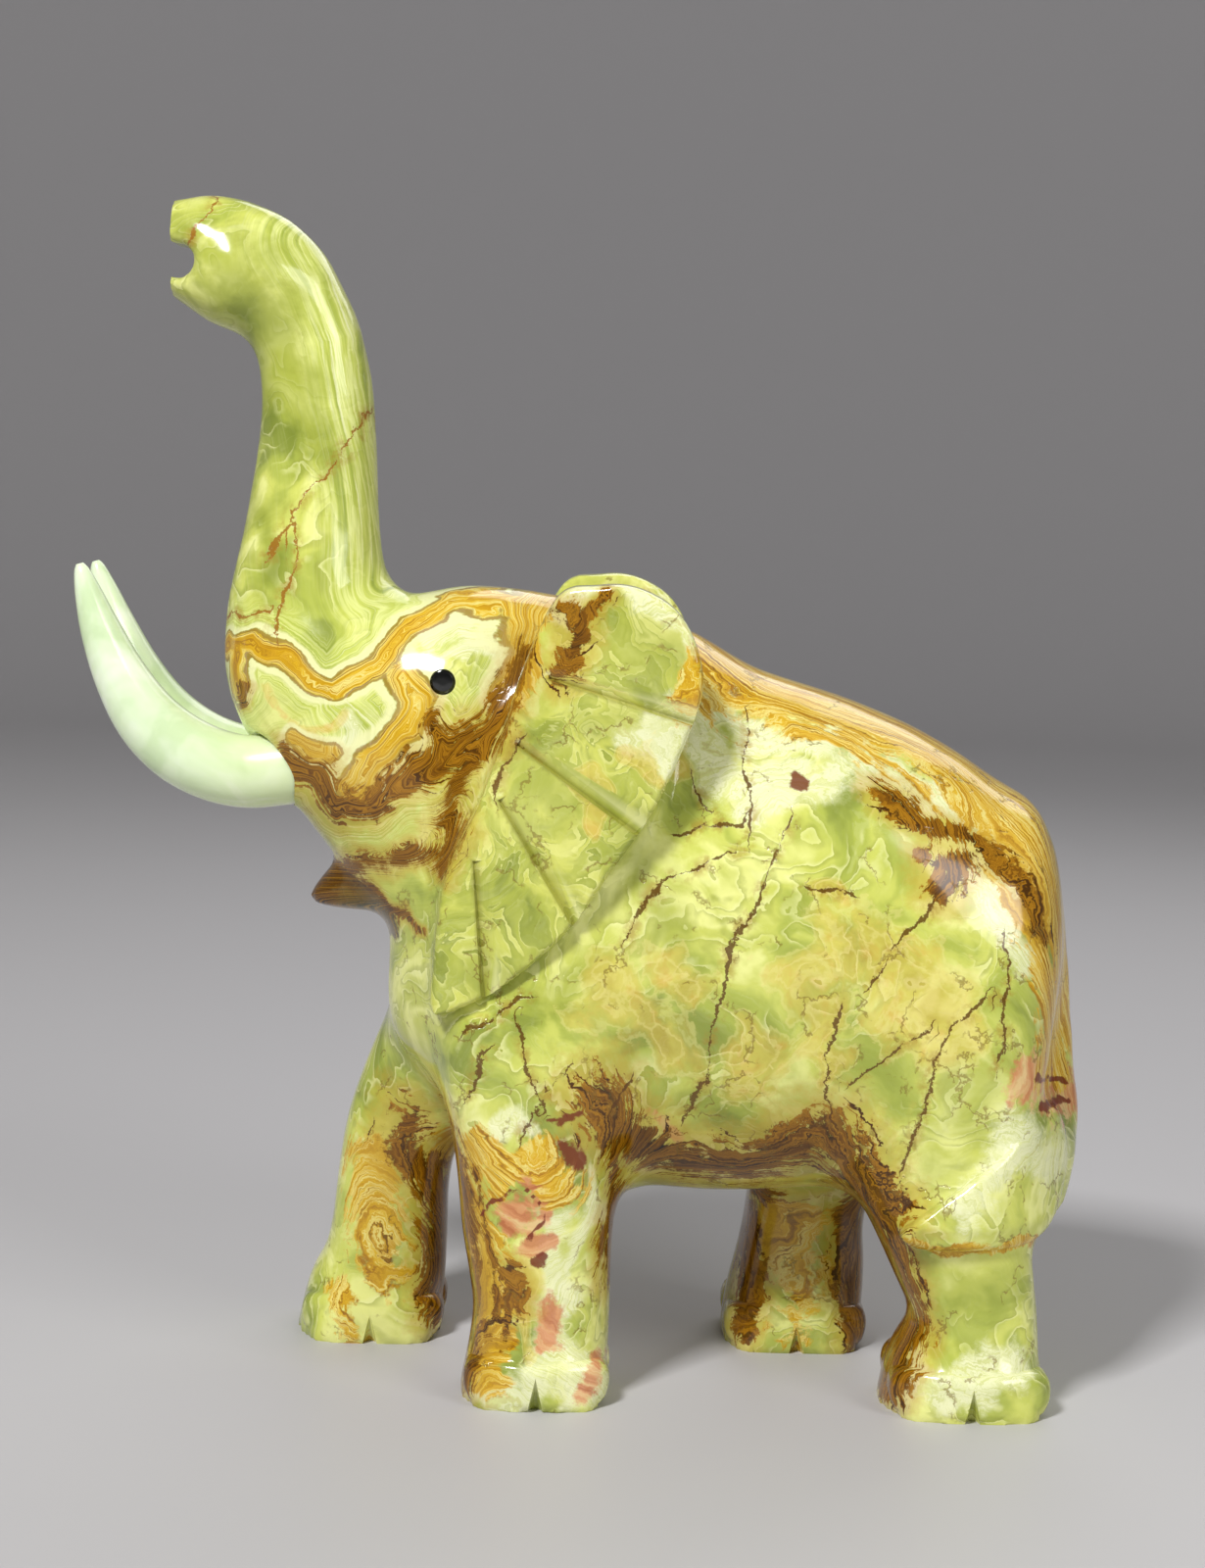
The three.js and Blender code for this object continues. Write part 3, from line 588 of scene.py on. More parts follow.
def makeTusk(side, name):
    deselectAll()
    bpy.ops.curve.primitive_nurbs_path_add()
    tusk = bpy.context.object
    tusk.name = name
    line = tusk.data
    line.splines.clear()
    rows = tuskLine()
    spline = line.splines.new("POLY")
    spline.points.add(len(rows) - 1)
    for point, (x, z, share) in zip(spline.points, rows):
        point.co = (x * mm, side * tuskSet["side"] * mm, z * mm, 1)
        point.radius = share
    line.bevel_depth = tuskSet["root"] * mm
    line.bevel_resolution = 10
    line.use_fill_caps = True
    pick(tusk)
    bpy.ops.object.convert(target="MESH")
    tusk = bpy.context.object
    applyPlace(tusk)
    bpy.ops.object.mode_set(mode="EDIT")
    bpy.ops.mesh.select_all(action="SELECT")
    bpy.ops.mesh.remove_doubles(threshold=0.005 * mm)
    bpy.ops.object.mode_set(mode="OBJECT")
    faceOutwards(tusk)
    bevel = tusk.modifiers.new("edge", "BEVEL")
    bevel.width = 0.4 * mm
    bevel.segments = 3
    bevel.limit_method = "ANGLE"
    bevel.angle_limit = math.radians(60)
    applyModifiers(tusk)
    bpy.ops.object.shade_smooth_by_angle(angle=math.radians(50))
    return tusk


tusks = {"left": makeTusk(leftSide, "tusk_left_white"), "right": makeTusk(rightSide, "tusk_right_white")}


# Eyes: low domed discs down in their holes
def makeEye(side, name):
    radius = eyeSet["hole"] / 2 - eyeSet["gap"]
    deselectAll()
    bpy.ops.mesh.primitive_cylinder_add(vertices=48, radius=radius * mm, depth=eyeSet["thick"] * mm * 0.8)
    disc = bpy.context.object
    disc.name = name
    bpy.ops.object.mode_set(mode="EDIT")
    bpy.ops.mesh.select_mode(type="FACE")
    bpy.ops.mesh.select_all(action="DESELECT")
    bpy.ops.object.mode_set(mode="OBJECT")
    for polygon in disc.data.polygons:
        polygon.select = polygon.normal.z > 0.5
    bpy.ops.object.mode_set(mode="EDIT")
    for inset, rise in eyeSet["dome"]:
        bpy.ops.mesh.inset(thickness=inset * mm, depth=rise * mm)
    bpy.ops.object.mode_set(mode="OBJECT")
    middle = eyeSet["cheek"] - eyeSet["recess"] - eyeSet["thick"] * 0.5
    disc.location = (eyeSet["x"] * mm, side * middle * mm, eyeSet["z"] * mm)
    disc.rotation_euler = (-side * math.pi / 2, 0, 0)
    applyPlace(disc)
    faceOutwards(disc)
    pick(disc)
    bpy.ops.object.shade_smooth_by_angle(angle=math.radians(40))
    return disc


eyes = {"left": makeEye(leftSide, "eye_left_black"), "right": makeEye(rightSide, "eye_right_black")}


# The photograph's camera, solved from the figure's own proportions, in mm and degrees, and how far
# in pixels a place picked just beside the stone may look for it
photoSet = {
    "width": 1230,
    "height": 1600,
    "place": (5.1, -792.7, 231.0),
    "pitch": 5.71,
    "roll": 1.3,
    "lens": 70.875,
    "sensor": 36,
    "reach": 60,
    "reachStep": 2,
    "turns": 12,
}
# Stone pattern: strokes picked in the photograph, each a half width in mm and its pixels
pickedStains = {
    "crack": [
        (1.0, [(377, 425), (355, 457), (332, 487), (300, 525), (275, 567)]),
        (0.7, [(300, 530), (302, 560), (287, 620), (284, 650)]),
        (0.9, [(222, 202), (205, 225), (193, 245)]),
        (0.8, [(229, 628), (260, 624), (285, 626)]),
        (1.1, [(810, 830), (790, 880), (770, 930), (740, 970), (735, 1030), (720, 1100), (700, 1140)]),
        (0.6, [(765, 725), (762, 780), (760, 860)]),
        (1.2, [(705, 790), (725, 830)]),
        (1.0, [(690, 850), (750, 840)]),
        (0.9, [(635, 960), (680, 900), (750, 870)]),
        (1.1, [(820, 900), (870, 915)]),
        (1.2, [(1027, 950), (1025, 1010), (1020, 1095)]),
        (0.8, [(1010, 1015), (965, 1060), (945, 1120), (920, 1190)]),
        (0.9, [(950, 1045), (870, 1105)]),
        (0.8, [(500, 1075), (475, 1120)]),
        (0.7, [(527, 1045), (555, 1135)]),
        (0.7, [(480, 1055), (545, 1020)]),
        (0.8, [(860, 1030), (845, 1120), (855, 1150)]),
        (0.9, [(530, 755), (510, 790), (510, 820)]),
        (1.6, [(950, 920), (920, 960), (890, 1005)]),
        (1.0, [(640, 1100), (625, 1130)]),
        (1.3, [(585, 1085), (550, 1130), (530, 1165)]),
    ],
    "headBrown": [
        (4.2, [(285, 775), (325, 790), (345, 830), (380, 820), (420, 792), (460, 770), (500, 745)]),
        (3.0, [(500, 745), (520, 700), (535, 665)]),
        (2.6, [(445, 735), (455, 760), (435, 790), (400, 812), (360, 832)]),
    ],
    "brown": [
        (2.6, [(512, 735), (485, 775), (462, 812), (460, 860), (450, 885)]),
        (4.2, [(460, 835), (463, 845)]),
        (2.4, [(375, 880), (420, 872), (460, 868)]),
        (3.0, [(578, 622), (592, 650), (572, 690)]),
        (1.8, [(590, 640), (625, 608)]),
        (2.8, [(895, 807), (945, 840), (995, 862), (1035, 890), (1055, 930), (1065, 952)]),
        (4.2, [(985, 885), (960, 905)]),
        (2.0, [(940, 872), (985, 885)]),
        (6.5, [
            (612, 1118), (640, 1160), (700, 1187), (770, 1187),
            (815, 1165), (850, 1155), (872, 1195), (900, 1232),
        ]),
        (2.6, [(626, 1130), (628, 1220), (624, 1300)]),
        (3.6, [(895, 1235), (922, 1300), (930, 1350), (903, 1415)]),
        (2.6, [(520, 1300), (528, 1335)]),
        (1.6, [(248, 700), (246, 718)]),
        (4.0, [(360, 888), (330, 905), (300, 920)]),
    ],
    "headGold": [
        (2.4, [
            (232, 664), (260, 655), (285, 668), (320, 697), (342, 704),
            (380, 680), (420, 640), (460, 615), (510, 612), (556, 626),
        ]),
        (3.4, [(410, 690), (428, 715), (418, 745), (382, 772), (366, 806)]),
        (2.0, [(245, 672), (243, 705)]),
    ],
    "gold": [
        (3.6, [(545, 620), (538, 665), (520, 705)]),
        (4.0, [(880, 735), (985, 795), (1055, 880)]),
        (6.0, [(1075, 1000), (1080, 1050), (1078, 1085)]),
        (5.0, [(550, 1185), (570, 1210)]),
        (2.0, [(340, 770), (300, 760)]),
    ],
    "orange": [
        (2.0, [(290, 705), (292, 738), (312, 750), (342, 740), (356, 718)]),
        (3.0, [(650, 770), (690, 800)]),
        (2.5, [(600, 800), (620, 840)]),
        (2.5, [(820, 900), (840, 905)]),
        (3.2, [(545, 1300), (560, 1330), (550, 1380)]),
    ],
    "cream": [
        (5.0, [(715, 725), (845, 752), (920, 795), (1010, 862), (1048, 930), (1052, 990)]),
        (2.5, [(700, 668), (800, 690)]),
        (6.0, [(640, 740), (760, 790), (850, 800)]),
        (5.5, [(420, 660), (470, 640), (520, 650)]),
        (3.2, [(360, 720), (385, 740), (365, 760)]),
        (3.0, [(590, 590), (640, 610), (705, 660)]),
        (3.5, [(455, 690), (480, 670)]),
        (5.0, [(470, 1410), (560, 1400), (610, 1420)]),
        (5.0, [(915, 1420), (1000, 1400), (1050, 1420)]),
        (9.0, [(1000, 1200), (1060, 1180)]),
        (3.0, [(540, 1160), (500, 1140)]),
        (2.5, [(610, 1200), (605, 1300)]),
    ],
    "salmon": [
        (3.0, [(538, 1278), (560, 1268)]),
        (3.2, [(560, 1330), (556, 1370)]),
        (1.9, [(670, 1140), (692, 1162)]),
        (1.8, [(527, 1203), (552, 1212), (560, 1240), (540, 1262)]),
        (2.5, [(610, 1385), (600, 1420)]),
        (2.4, [(545, 1190), (556, 1215)]),
    ],
    "maroon": [
        (1.8, [(812, 797), (822, 800)]),
        (2.6, [(578, 1170), (588, 1185)]),
        (1.2, [(560, 1145), (590, 1140)]),
        (1.2, [(540, 1290), (552, 1285)]),
    ],
    "deep": [
        (6.0, [(620, 720), (680, 760)]),
        (5.0, [(560, 780), (580, 820)]),
        (5.0, [(640, 650), (690, 700)]),
        (6.0, [(650, 870), (700, 950)]),
        (7.0, [(800, 1120), (900, 1100)]),
        (8.0, [(950, 1150), (1000, 1100)]),
        (6.0, [(960, 1300), (1040, 1330)]),
        (6.0, [(700, 1120), (800, 1150)]),
        (5.0, [(480, 1000), (600, 1010)]),
    ],
    "farBrown": [
        (6.0, [(425, 1130), (408, 1172), (440, 1205)]),
    ],
    "rearEdge": [
        (1, [
            (340, 205), (372, 262), (387, 330), (392, 470), (396, 590),
            (415, 612), (450, 598), (520, 592), (620, 600),
        ]),
    ],
    "core": [
        (1, [(345, 722), (370, 742), (362, 765)]),
    ],
}
# and strokes set in the side view, each a half width and its places, all in mm
sideStains = {
    "brown": [
        (4.4, [(-35, 68), (-29, 57), (-27, 37), (-25, 19), (-28, 3)]),
        (1.0, [(-24, 60), (-20, 44), (-19, 24)]),
        (0.9, [(-19, 40), (-16, 30), (-17, 14)]),
        (1.3, [(-63, 131), (-52, 125), (-39, 116)]),
    ],
    "gold": [
        (8.5, [(30, 183), (62, 176), (93, 162), (111, 145), (118, 130), (125, 109)]),
        (4.0, [(-24, 66), (-17, 58)]),
        (5.0, [(-30, 60), (-23, 46), (-20, 30), (-21, 8)]),
        (1.3, [(84, 45), (100, 43.8), (115, 44)]),
    ],
    "orange": [
        (8.5, [(9, 100), (19, 95)]),
        (7.0, [(38, 86), (47, 92)]),
        (12.0, [(82, 109), (87, 102)]),
        (8.0, [(67, 121), (72, 110)]),
        (6.0, [(57, 119), (59, 107)]),
        (5.0, [(24, 116), (30, 112)]),
        (4.0, [(60, 96), (63, 90)]),
    ],
    "cream": [
        (5.0, [(-4, 47), (2, 27), (2, 10)]),
    ],
    "salmon": [
        (7.0, [(114, 85), (127, 77)]),
        (5.0, [(-15, 50), (-14, 48)]),
    ],
    "maroon": [
        (0.6, [(-22, 49), (-19, 54), (-13, 56), (-8, 53), (-7, 47), (-11, 42)]),
        (1.0, [(115, 83), (126, 80)]),
        (0.8, [(116, 77), (126, 74)]),
    ],
    "saddle": [
        (11.0, [(-6, 194), (14, 188), (34, 182)]),
    ],
    "deep": [
        (12.0, [(-94, 280), (-84, 268), (-80, 256)]),
        (8.0, [(-78, 256), (-70, 238)]),
        (5.0, [(-84, 216), (-80, 204)]),
    ],
    "farBrown": [
        (5.0, [(-36, 40), (-36, 8)]),
        (5.5, [(73, 40), (75, 22), (76, 4)]),
        (4.0, [(46, 36), (48, 20), (47, 4)]),
        (5.0, [(49, 44), (67, 46)]),
    ],
    "farGold": [
        (6.0, [(-53, 50), (-52, 34), (-50, 16)]),
        (4.0, [(-60, 12), (-58, 2)]),
        (9.0, [(59, 34), (61, 18), (60, 6)]),
        (5.0, [(-30, 60), (-36, 50)]),
    ],
}
lipStain = {
    "rise": 131,
    "middleX": -62,
    "slope": 0.646,
    "back": (-36, -44),
    "top": (1.2, -0.8),
    "bottom": (108, 117),
    "across": (26, 14),
}


def photoTurn():
    look = Matrix.Rotation(math.radians(90 - photoSet["pitch"]), 4, "X")
    return look @ Matrix.Rotation(math.radians(photoSet["roll"]), 4, "Z")


def seenPlace(piece, pixel):
    # the side-view place that one pixel of the photograph shows, or None beside the piece
    focal = photoSet["lens"] / photoSet["sensor"] * photoSet["height"]
    across = pixel[0] - photoSet["width"] / 2
    down = pixel[1] - photoSet["height"] / 2
    sight = photoTurn() @ Vector((across / focal, -down / focal, -1)).normalized()
    met, place, _, _ = piece.ray_cast(Vector(photoSet["place"]) * mm, sight)
    return (place.x / mm, place.z / mm) if met else None


def nearestSeen(piece, pixel):
    for reach in range(0, photoSet["reach"], photoSet["reachStep"]):
        for turn in range(photoSet["turns"]):
            angle = 2 * math.pi * turn / photoSet["turns"]
            near = (pixel[0] + reach * math.cos(angle), pixel[1] + reach * math.sin(angle))
            place = seenPlace(piece, near)
            if place:
                return place
    raise ValueError(f"no stone near the picked pixel {pixel}")


def stainStrokes(piece):
    # every stroke in side-view millimetres
    strokes = {kind: list(lines) for kind, lines in sideStains.items()}
    for kind, lines in pickedStains.items():
        placed = [(halfWidth, [nearestSeen(piece, pixel) for pixel in line]) for halfWidth, line in lines]
        strokes[kind] = placed + strokes.get(kind, [])
    return strokes


def soft(low, high, values):
    share = np.clip((values - low) / (high - low), 0, 1)
    return share * share * (3 - 2 * share)


def wander(points, wavelength, amount, seed):
    # smooth unevenness over the stone, the same at every run
    chance = np.random.default_rng(seed)
    total = np.zeros(len(points))
    for _ in range(7):
        direction = chance.normal(size=3)
        direction /= np.linalg.norm(direction)
        pace = chance.uniform(0.6, 1.6) * 2 * math.pi / wavelength
        total += np.sin(points @ direction * pace + chance.uniform(0, 2 * math.pi))
    return total * amount / 7 ** 0.5


def lineDistance(flat, line):
    # how far each side-view point lies from a line through a few points
    nearest = np.full(len(flat), 1e6)
    for start, end in zip(line[:-1], line[1:]):
        start = np.array(start, float)
        run = np.array(end, float) - start
        length = max(float(run @ run), 1e-6)
        share = np.clip((flat - start) @ run / length, 0, 1)
        nearest = np.minimum(nearest, np.linalg.norm(flat - start - share[:, None] * run, axis=1))
    return nearest


def stainField(flat, strokes):
    # 1 in the middle of a stroke, 0 at its edge and below 0 outside
    field = np.full(len(flat), -3.0)
    for halfWidth, line in strokes:
        field = np.maximum(field, 1 - lineDistance(flat, line) / halfWidth)
    return field


def signedDistance(flat, line):
    # which side of a line each side-view point lies on, and how far
    nearest = np.full(len(flat), 1e6)
    signed = np.full(len(flat), 1e6)
    for start, end in zip(line[:-1], line[1:]):
        start = np.array(start, float)
        run = np.array(end, float) - start
        share = np.clip((flat - start) @ run / max(float(run @ run), 1e-6), 0, 1)
        away = flat - start - share[:, None] * run
        distance = np.linalg.norm(away, axis=1)
        turn = np.sign(run[0] * away[:, 1] - run[1] * away[:, 0])
        closer = distance < nearest
        nearest = np.where(closer, distance, nearest)
        signed = np.where(closer, distance * turn, signed)
    return nearest, signed


def earMask(points):
    # 1 on the ears, 0 elsewhere
    rim = [tuple(point) for point in roundedOutline(earSet["outline"], 3)]
    flat = points[:, [0, 2]]
    inside = np.zeros(len(points), bool)
    for (x0, z0), (x1, z1) in zip(rim, rim[1:] + rim[:1]):
        if z0 == z1:
            continue
        crossing = (flat[:, 1] > z0) != (flat[:, 1] > z1)
        at = x0 + (flat[:, 1] - z0) * (x1 - x0) / (z1 - z0)
        inside ^= crossing & (flat[:, 0] < at)
    edge = lineDistance(flat, rim + rim[:1])
    signed = np.where(inside, edge, -edge)
    proud = np.abs(points[:, 1]) - (earPlace(points[:, 0]) - 9)
    return soft(-1.2, 0.4, signed) * soft(-1, 1, proud)


def paintStone(piece):
    points = np.empty(len(piece.data.vertices) * 3)
    piece.data.vertices.foreach_get("co", points)
    points = points.reshape(-1, 3) / mm
    far = soft(-4, 12, points[:, 1])
    side = points[:, [0, 2]] + far[:, None] * np.array([-8.0, 5.0])
    side[:, 0] += wander(points, 16, 0.9, 3) + wander(points, 6, 0.35, 4)
    side[:, 1] += wander(points, 16, 0.9, 5) + wander(points, 6, 0.35, 6)
    loose = side.copy()
    loose[:, 0] += wander(points, 34, 4.5, 13) + wander(points, 13, 1.8, 14)
    loose[:, 1] += wander(points, 34, 4.5, 15) + wander(points, 13, 1.8, 16)
    plain = points[:, [0, 2]]
    across = np.abs(points[:, 1])
    strokes = stainStrokes(piece)
    fields = {}
    for kind in ("salmon", "maroon"):
        fields[kind] = stainField(side, strokes[kind])
    for kind in ("cream", "orange", "deep"):
        fields[kind] = stainField(loose, strokes[kind])
    for kind in ("brown", "gold"):
        name = kind.capitalize()
        here = stainField(side, strokes[f"head{name}"] + strokes[kind])
        there = stainField(plain, strokes[f"far{name}"]) - 4 * (1 - far)
        fields[kind] = np.maximum(here, there)
    saddle = stainField(side, strokes["saddle"]) - 4 * soft(25, 31, across)
    fields["gold"] = np.maximum(fields["gold"], saddle)
    crackNear = np.full(len(points), 9.0)
    crackSide = np.full(len(points), 9.0)
    for _, line in strokes["crack"]:
        nearest, signed = signedDistance(side, line)
        closer = nearest < crackNear
        crackNear = np.where(closer, nearest, crackNear)
        crackSide = np.where(closer, signed, crackSide)
    edge = lineDistance(plain, strokes["rearEdge"][0][1])
    bands = np.full(len(points), 1e6)
    for _, line in strokes["headGold"] + strokes["headBrown"] + strokes["core"]:
        bands = np.minimum(bands, lineDistance(side, line))
    head = soft(-2, -22, points[:, 0]) * soft(118, 140, points[:, 2]) * soft(52, 26, across)
    swirl = soft(13, 5, bands)
    around = edge + wander(points, 60, 1.4, 8)
    around = around * (1 - swirl) + bands * swirl
    lean = 0.08 * points[:, 0] - 0.05 * points[:, 2]
    layered = points[:, 1] + lean + wander(points, 90, 5, 9) + wander(points, 30, 1.6, 10)
    strata = layered * (1 - head) + around * head
    ear = earMask(points)
    # painted shade along the ear pleats' creases and a painted highlight on their gentle side, kept as
    # one signed value: above 0 shade, below 0 highlight
    pleatShadeAndHighlight = np.zeros(len(points))
    pleatPaintedHighlight = np.zeros(len(points))
    for inner, rim in earSet["pleats"]:
        nearest, signed = signedDistance(plain, [inner, rim])
        run = np.array(rim) - inner
        share = np.clip((plain - inner) @ run / (run @ run), 0, 1)
        pleatShadeAndHighlight = np.maximum(pleatShadeAndHighlight, soft(1.1, 0.2, nearest))
        wide = earSet["pleatWide"] * (earSet["pleatStart"] + (1 - earSet["pleatStart"]) * share)
        slope = signed / wide
        pleatPaintedHighlight = np.maximum(pleatPaintedHighlight, soft(0.2, 0.5, slope) * soft(1.05, 0.7, slope) * (nearest < 8))
    pleatShadeAndHighlight = (pleatShadeAndHighlight - pleatPaintedHighlight * (1 - pleatShadeAndHighlight)) * ear
    mouth = lipStain["rise"] - (points[:, 0] - lipStain["middleX"]) * lipStain["slope"]
    lowLip = soft(*lipStain["back"], points[:, 0]) * soft(*lipStain["top"], points[:, 2] - mouth)
    lowLip *= soft(*lipStain["bottom"], points[:, 2]) * soft(*lipStain["across"], across)
    values = {
        "stainA": (fields["brown"], fields["gold"], fields["cream"], fields["orange"]),
        "stainB": (fields["salmon"], fields["maroon"], fields["deep"], crackSide),
        "stainC": (strata, head, ear, crackNear),
        # its third value is painted shade and painted highlight on the ear pleats
        "stainAndPaintedShadeD": (edge, swirl, pleatShadeAndHighlight, lowLip),
    }
    for name, columns in values.items():
        attribute = piece.data.attributes.new(name, "FLOAT_COLOR", "POINT")
        attribute.data.foreach_set("color", np.stack(columns, axis=1).ravel())


# Finishes, all on the pieces' own coordinates
def tone(*screen):
    # screen colour, 0 to 255, to the shader's own
    linear = [((value / 255 + 0.055) / 1.055) ** 2.4 if value > 10 else value / 3295 for value in screen]
    return (*linear, 1)


class Finish:
    def __init__(self, name):
        self.material = bpy.data.materials.new(name)
        self.material.use_nodes = True
        self.tree = self.material.node_tree
        self.shader = self.tree.nodes["Principled BSDF"]

    def put(self, socket, value):
        if isinstance(value, bpy.types.NodeSocket):
            self.tree.links.new(value, socket)
        elif isinstance(value, (tuple, list)) and socket.type == "RGBA" and len(value) == 3:
            socket.default_value = (*value, 1)
        else:
            socket.default_value = value

    def calc(self, operation, first, second=0.0, third=0.0):
        node = self.tree.nodes.new("ShaderNodeMath")
        node.operation = operation
        for socket, value in zip(node.inputs, (first, second, third)):
            self.put(socket, value)
        return node.outputs[0]

    def times(self, first, second):
        return self.calc("MULTIPLY", first, second)

    def plus(self, first, second):
        return self.calc("ADD", first, second)

    def minus(self, first, second):
        return self.calc("SUBTRACT", first, second)

    def vector(self, operation, first, second=(0, 0, 0)):
        node = self.tree.nodes.new("ShaderNodeVectorMath")
        node.operation = operation
        self.put(node.inputs[0], first)
        if operation == "SCALE":
            self.put(node.inputs["Scale"], second)
        else:
            self.put(node.inputs[1], second)
        return node.outputs[0]

    def combine(self, x, y, z):
        node = self.tree.nodes.new("ShaderNodeCombineXYZ")
        for socket, value in zip(node.inputs, (x, y, z)):
            self.put(socket, value)
        return node.outputs[0]

    def place(self):
        # the piece's own place in millimetres
        node = self.tree.nodes.new("ShaderNodeTexCoord")
        return self.vector("SCALE", node.outputs["Object"], 1000.0)

    def parts(self, vector):
        node = self.tree.nodes.new("ShaderNodeSeparateXYZ")
        self.put(node.inputs[0], vector)
        return node.outputs

    def stored(self, name):
        node = self.tree.nodes.new("ShaderNodeAttribute")
        node.attribute_name = name
        colours = self.tree.nodes.new("ShaderNodeSeparateColor")
        self.put(colours.inputs[0], node.outputs["Color"])
        return (*colours.outputs[:3], node.outputs["Alpha"])

    def noise(self, vector, size, detail=3.0, rough=0.55, twist=0.0, colour=False):
        # size is the grain's width in millimetres
        node = self.tree.nodes.new("ShaderNodeTexNoise")
        self.put(node.inputs["Vector"], vector)
        node.inputs["Scale"].default_value = 1 / size
        node.inputs["Detail"].default_value = detail
        node.inputs["Roughness"].default_value = rough
        node.inputs["Distortion"].default_value = twist
        return node.outputs["Color" if colour else "Fac"]

    def cells(self, vector, size):
        # distance to the cracks between cells
        node = self.tree.nodes.new("ShaderNodeTexVoronoi")
        node.feature = "DISTANCE_TO_EDGE"
        self.put(node.inputs["Vector"], vector)
        node.inputs["Scale"].default_value = 1 / size
        return node.outputs["Distance"]

    def step(self, value, low, high):
        node = self.tree.nodes.new("ShaderNodeMapRange")
        node.interpolation_type = "SMOOTHSTEP"
        self.put(node.inputs["Value"], value)
        self.put(node.inputs["From Min"], low)
        self.put(node.inputs["From Max"], high)
        return node.outputs["Result"]

    def mix(self, share, first, second):
        node = self.tree.nodes.new("ShaderNodeMix")
        node.data_type = "RGBA"
        self.put(node.inputs["Factor"], share)
        self.put(node.inputs["A"], first)
        self.put(node.inputs["B"], second)
        return node.outputs["Result"]

    def lay(self, ground, mask, strength, colour):
        # a colour laid over the ground where the mask is
        return self.mix(self.times(mask, strength), ground, colour)

    def ramp(self, value, *stops, smooth=False):
        node = self.tree.nodes.new("ShaderNodeValToRGB")
        node.color_ramp.interpolation = "EASE" if smooth else "LINEAR"
        self.put(node.inputs[0], value)
        marks = node.color_ramp.elements
        while len(marks) < len(stops):
            marks.new(0.5)
        for mark, (position, colour) in zip(marks, stops):
            mark.position = position
            mark.color = colour
        return node.outputs["Color"]

    def polish(self, values):
        for name, value in values.items():
            self.shader.inputs[name].default_value = value

    def bump(self, height, strength, distance):
        node = self.tree.nodes.new("ShaderNodeBump")
        node.inputs["Strength"].default_value = strength
        node.inputs["Distance"].default_value = distance
        self.put(node.inputs["Height"], height)
        return node.outputs["Normal"]


onyxPolish = {
    "Roughness": 0.13,
    "IOR": 1.5,
    "Specular IOR Level": 0.38,
    "Subsurface Weight": 0.05,
    "Subsurface Radius": (1.0, 1.0, 0.4),
    "Subsurface Scale": 0.003,
    "Coat Weight": 0.16,
    "Coat Roughness": 0.03,
}


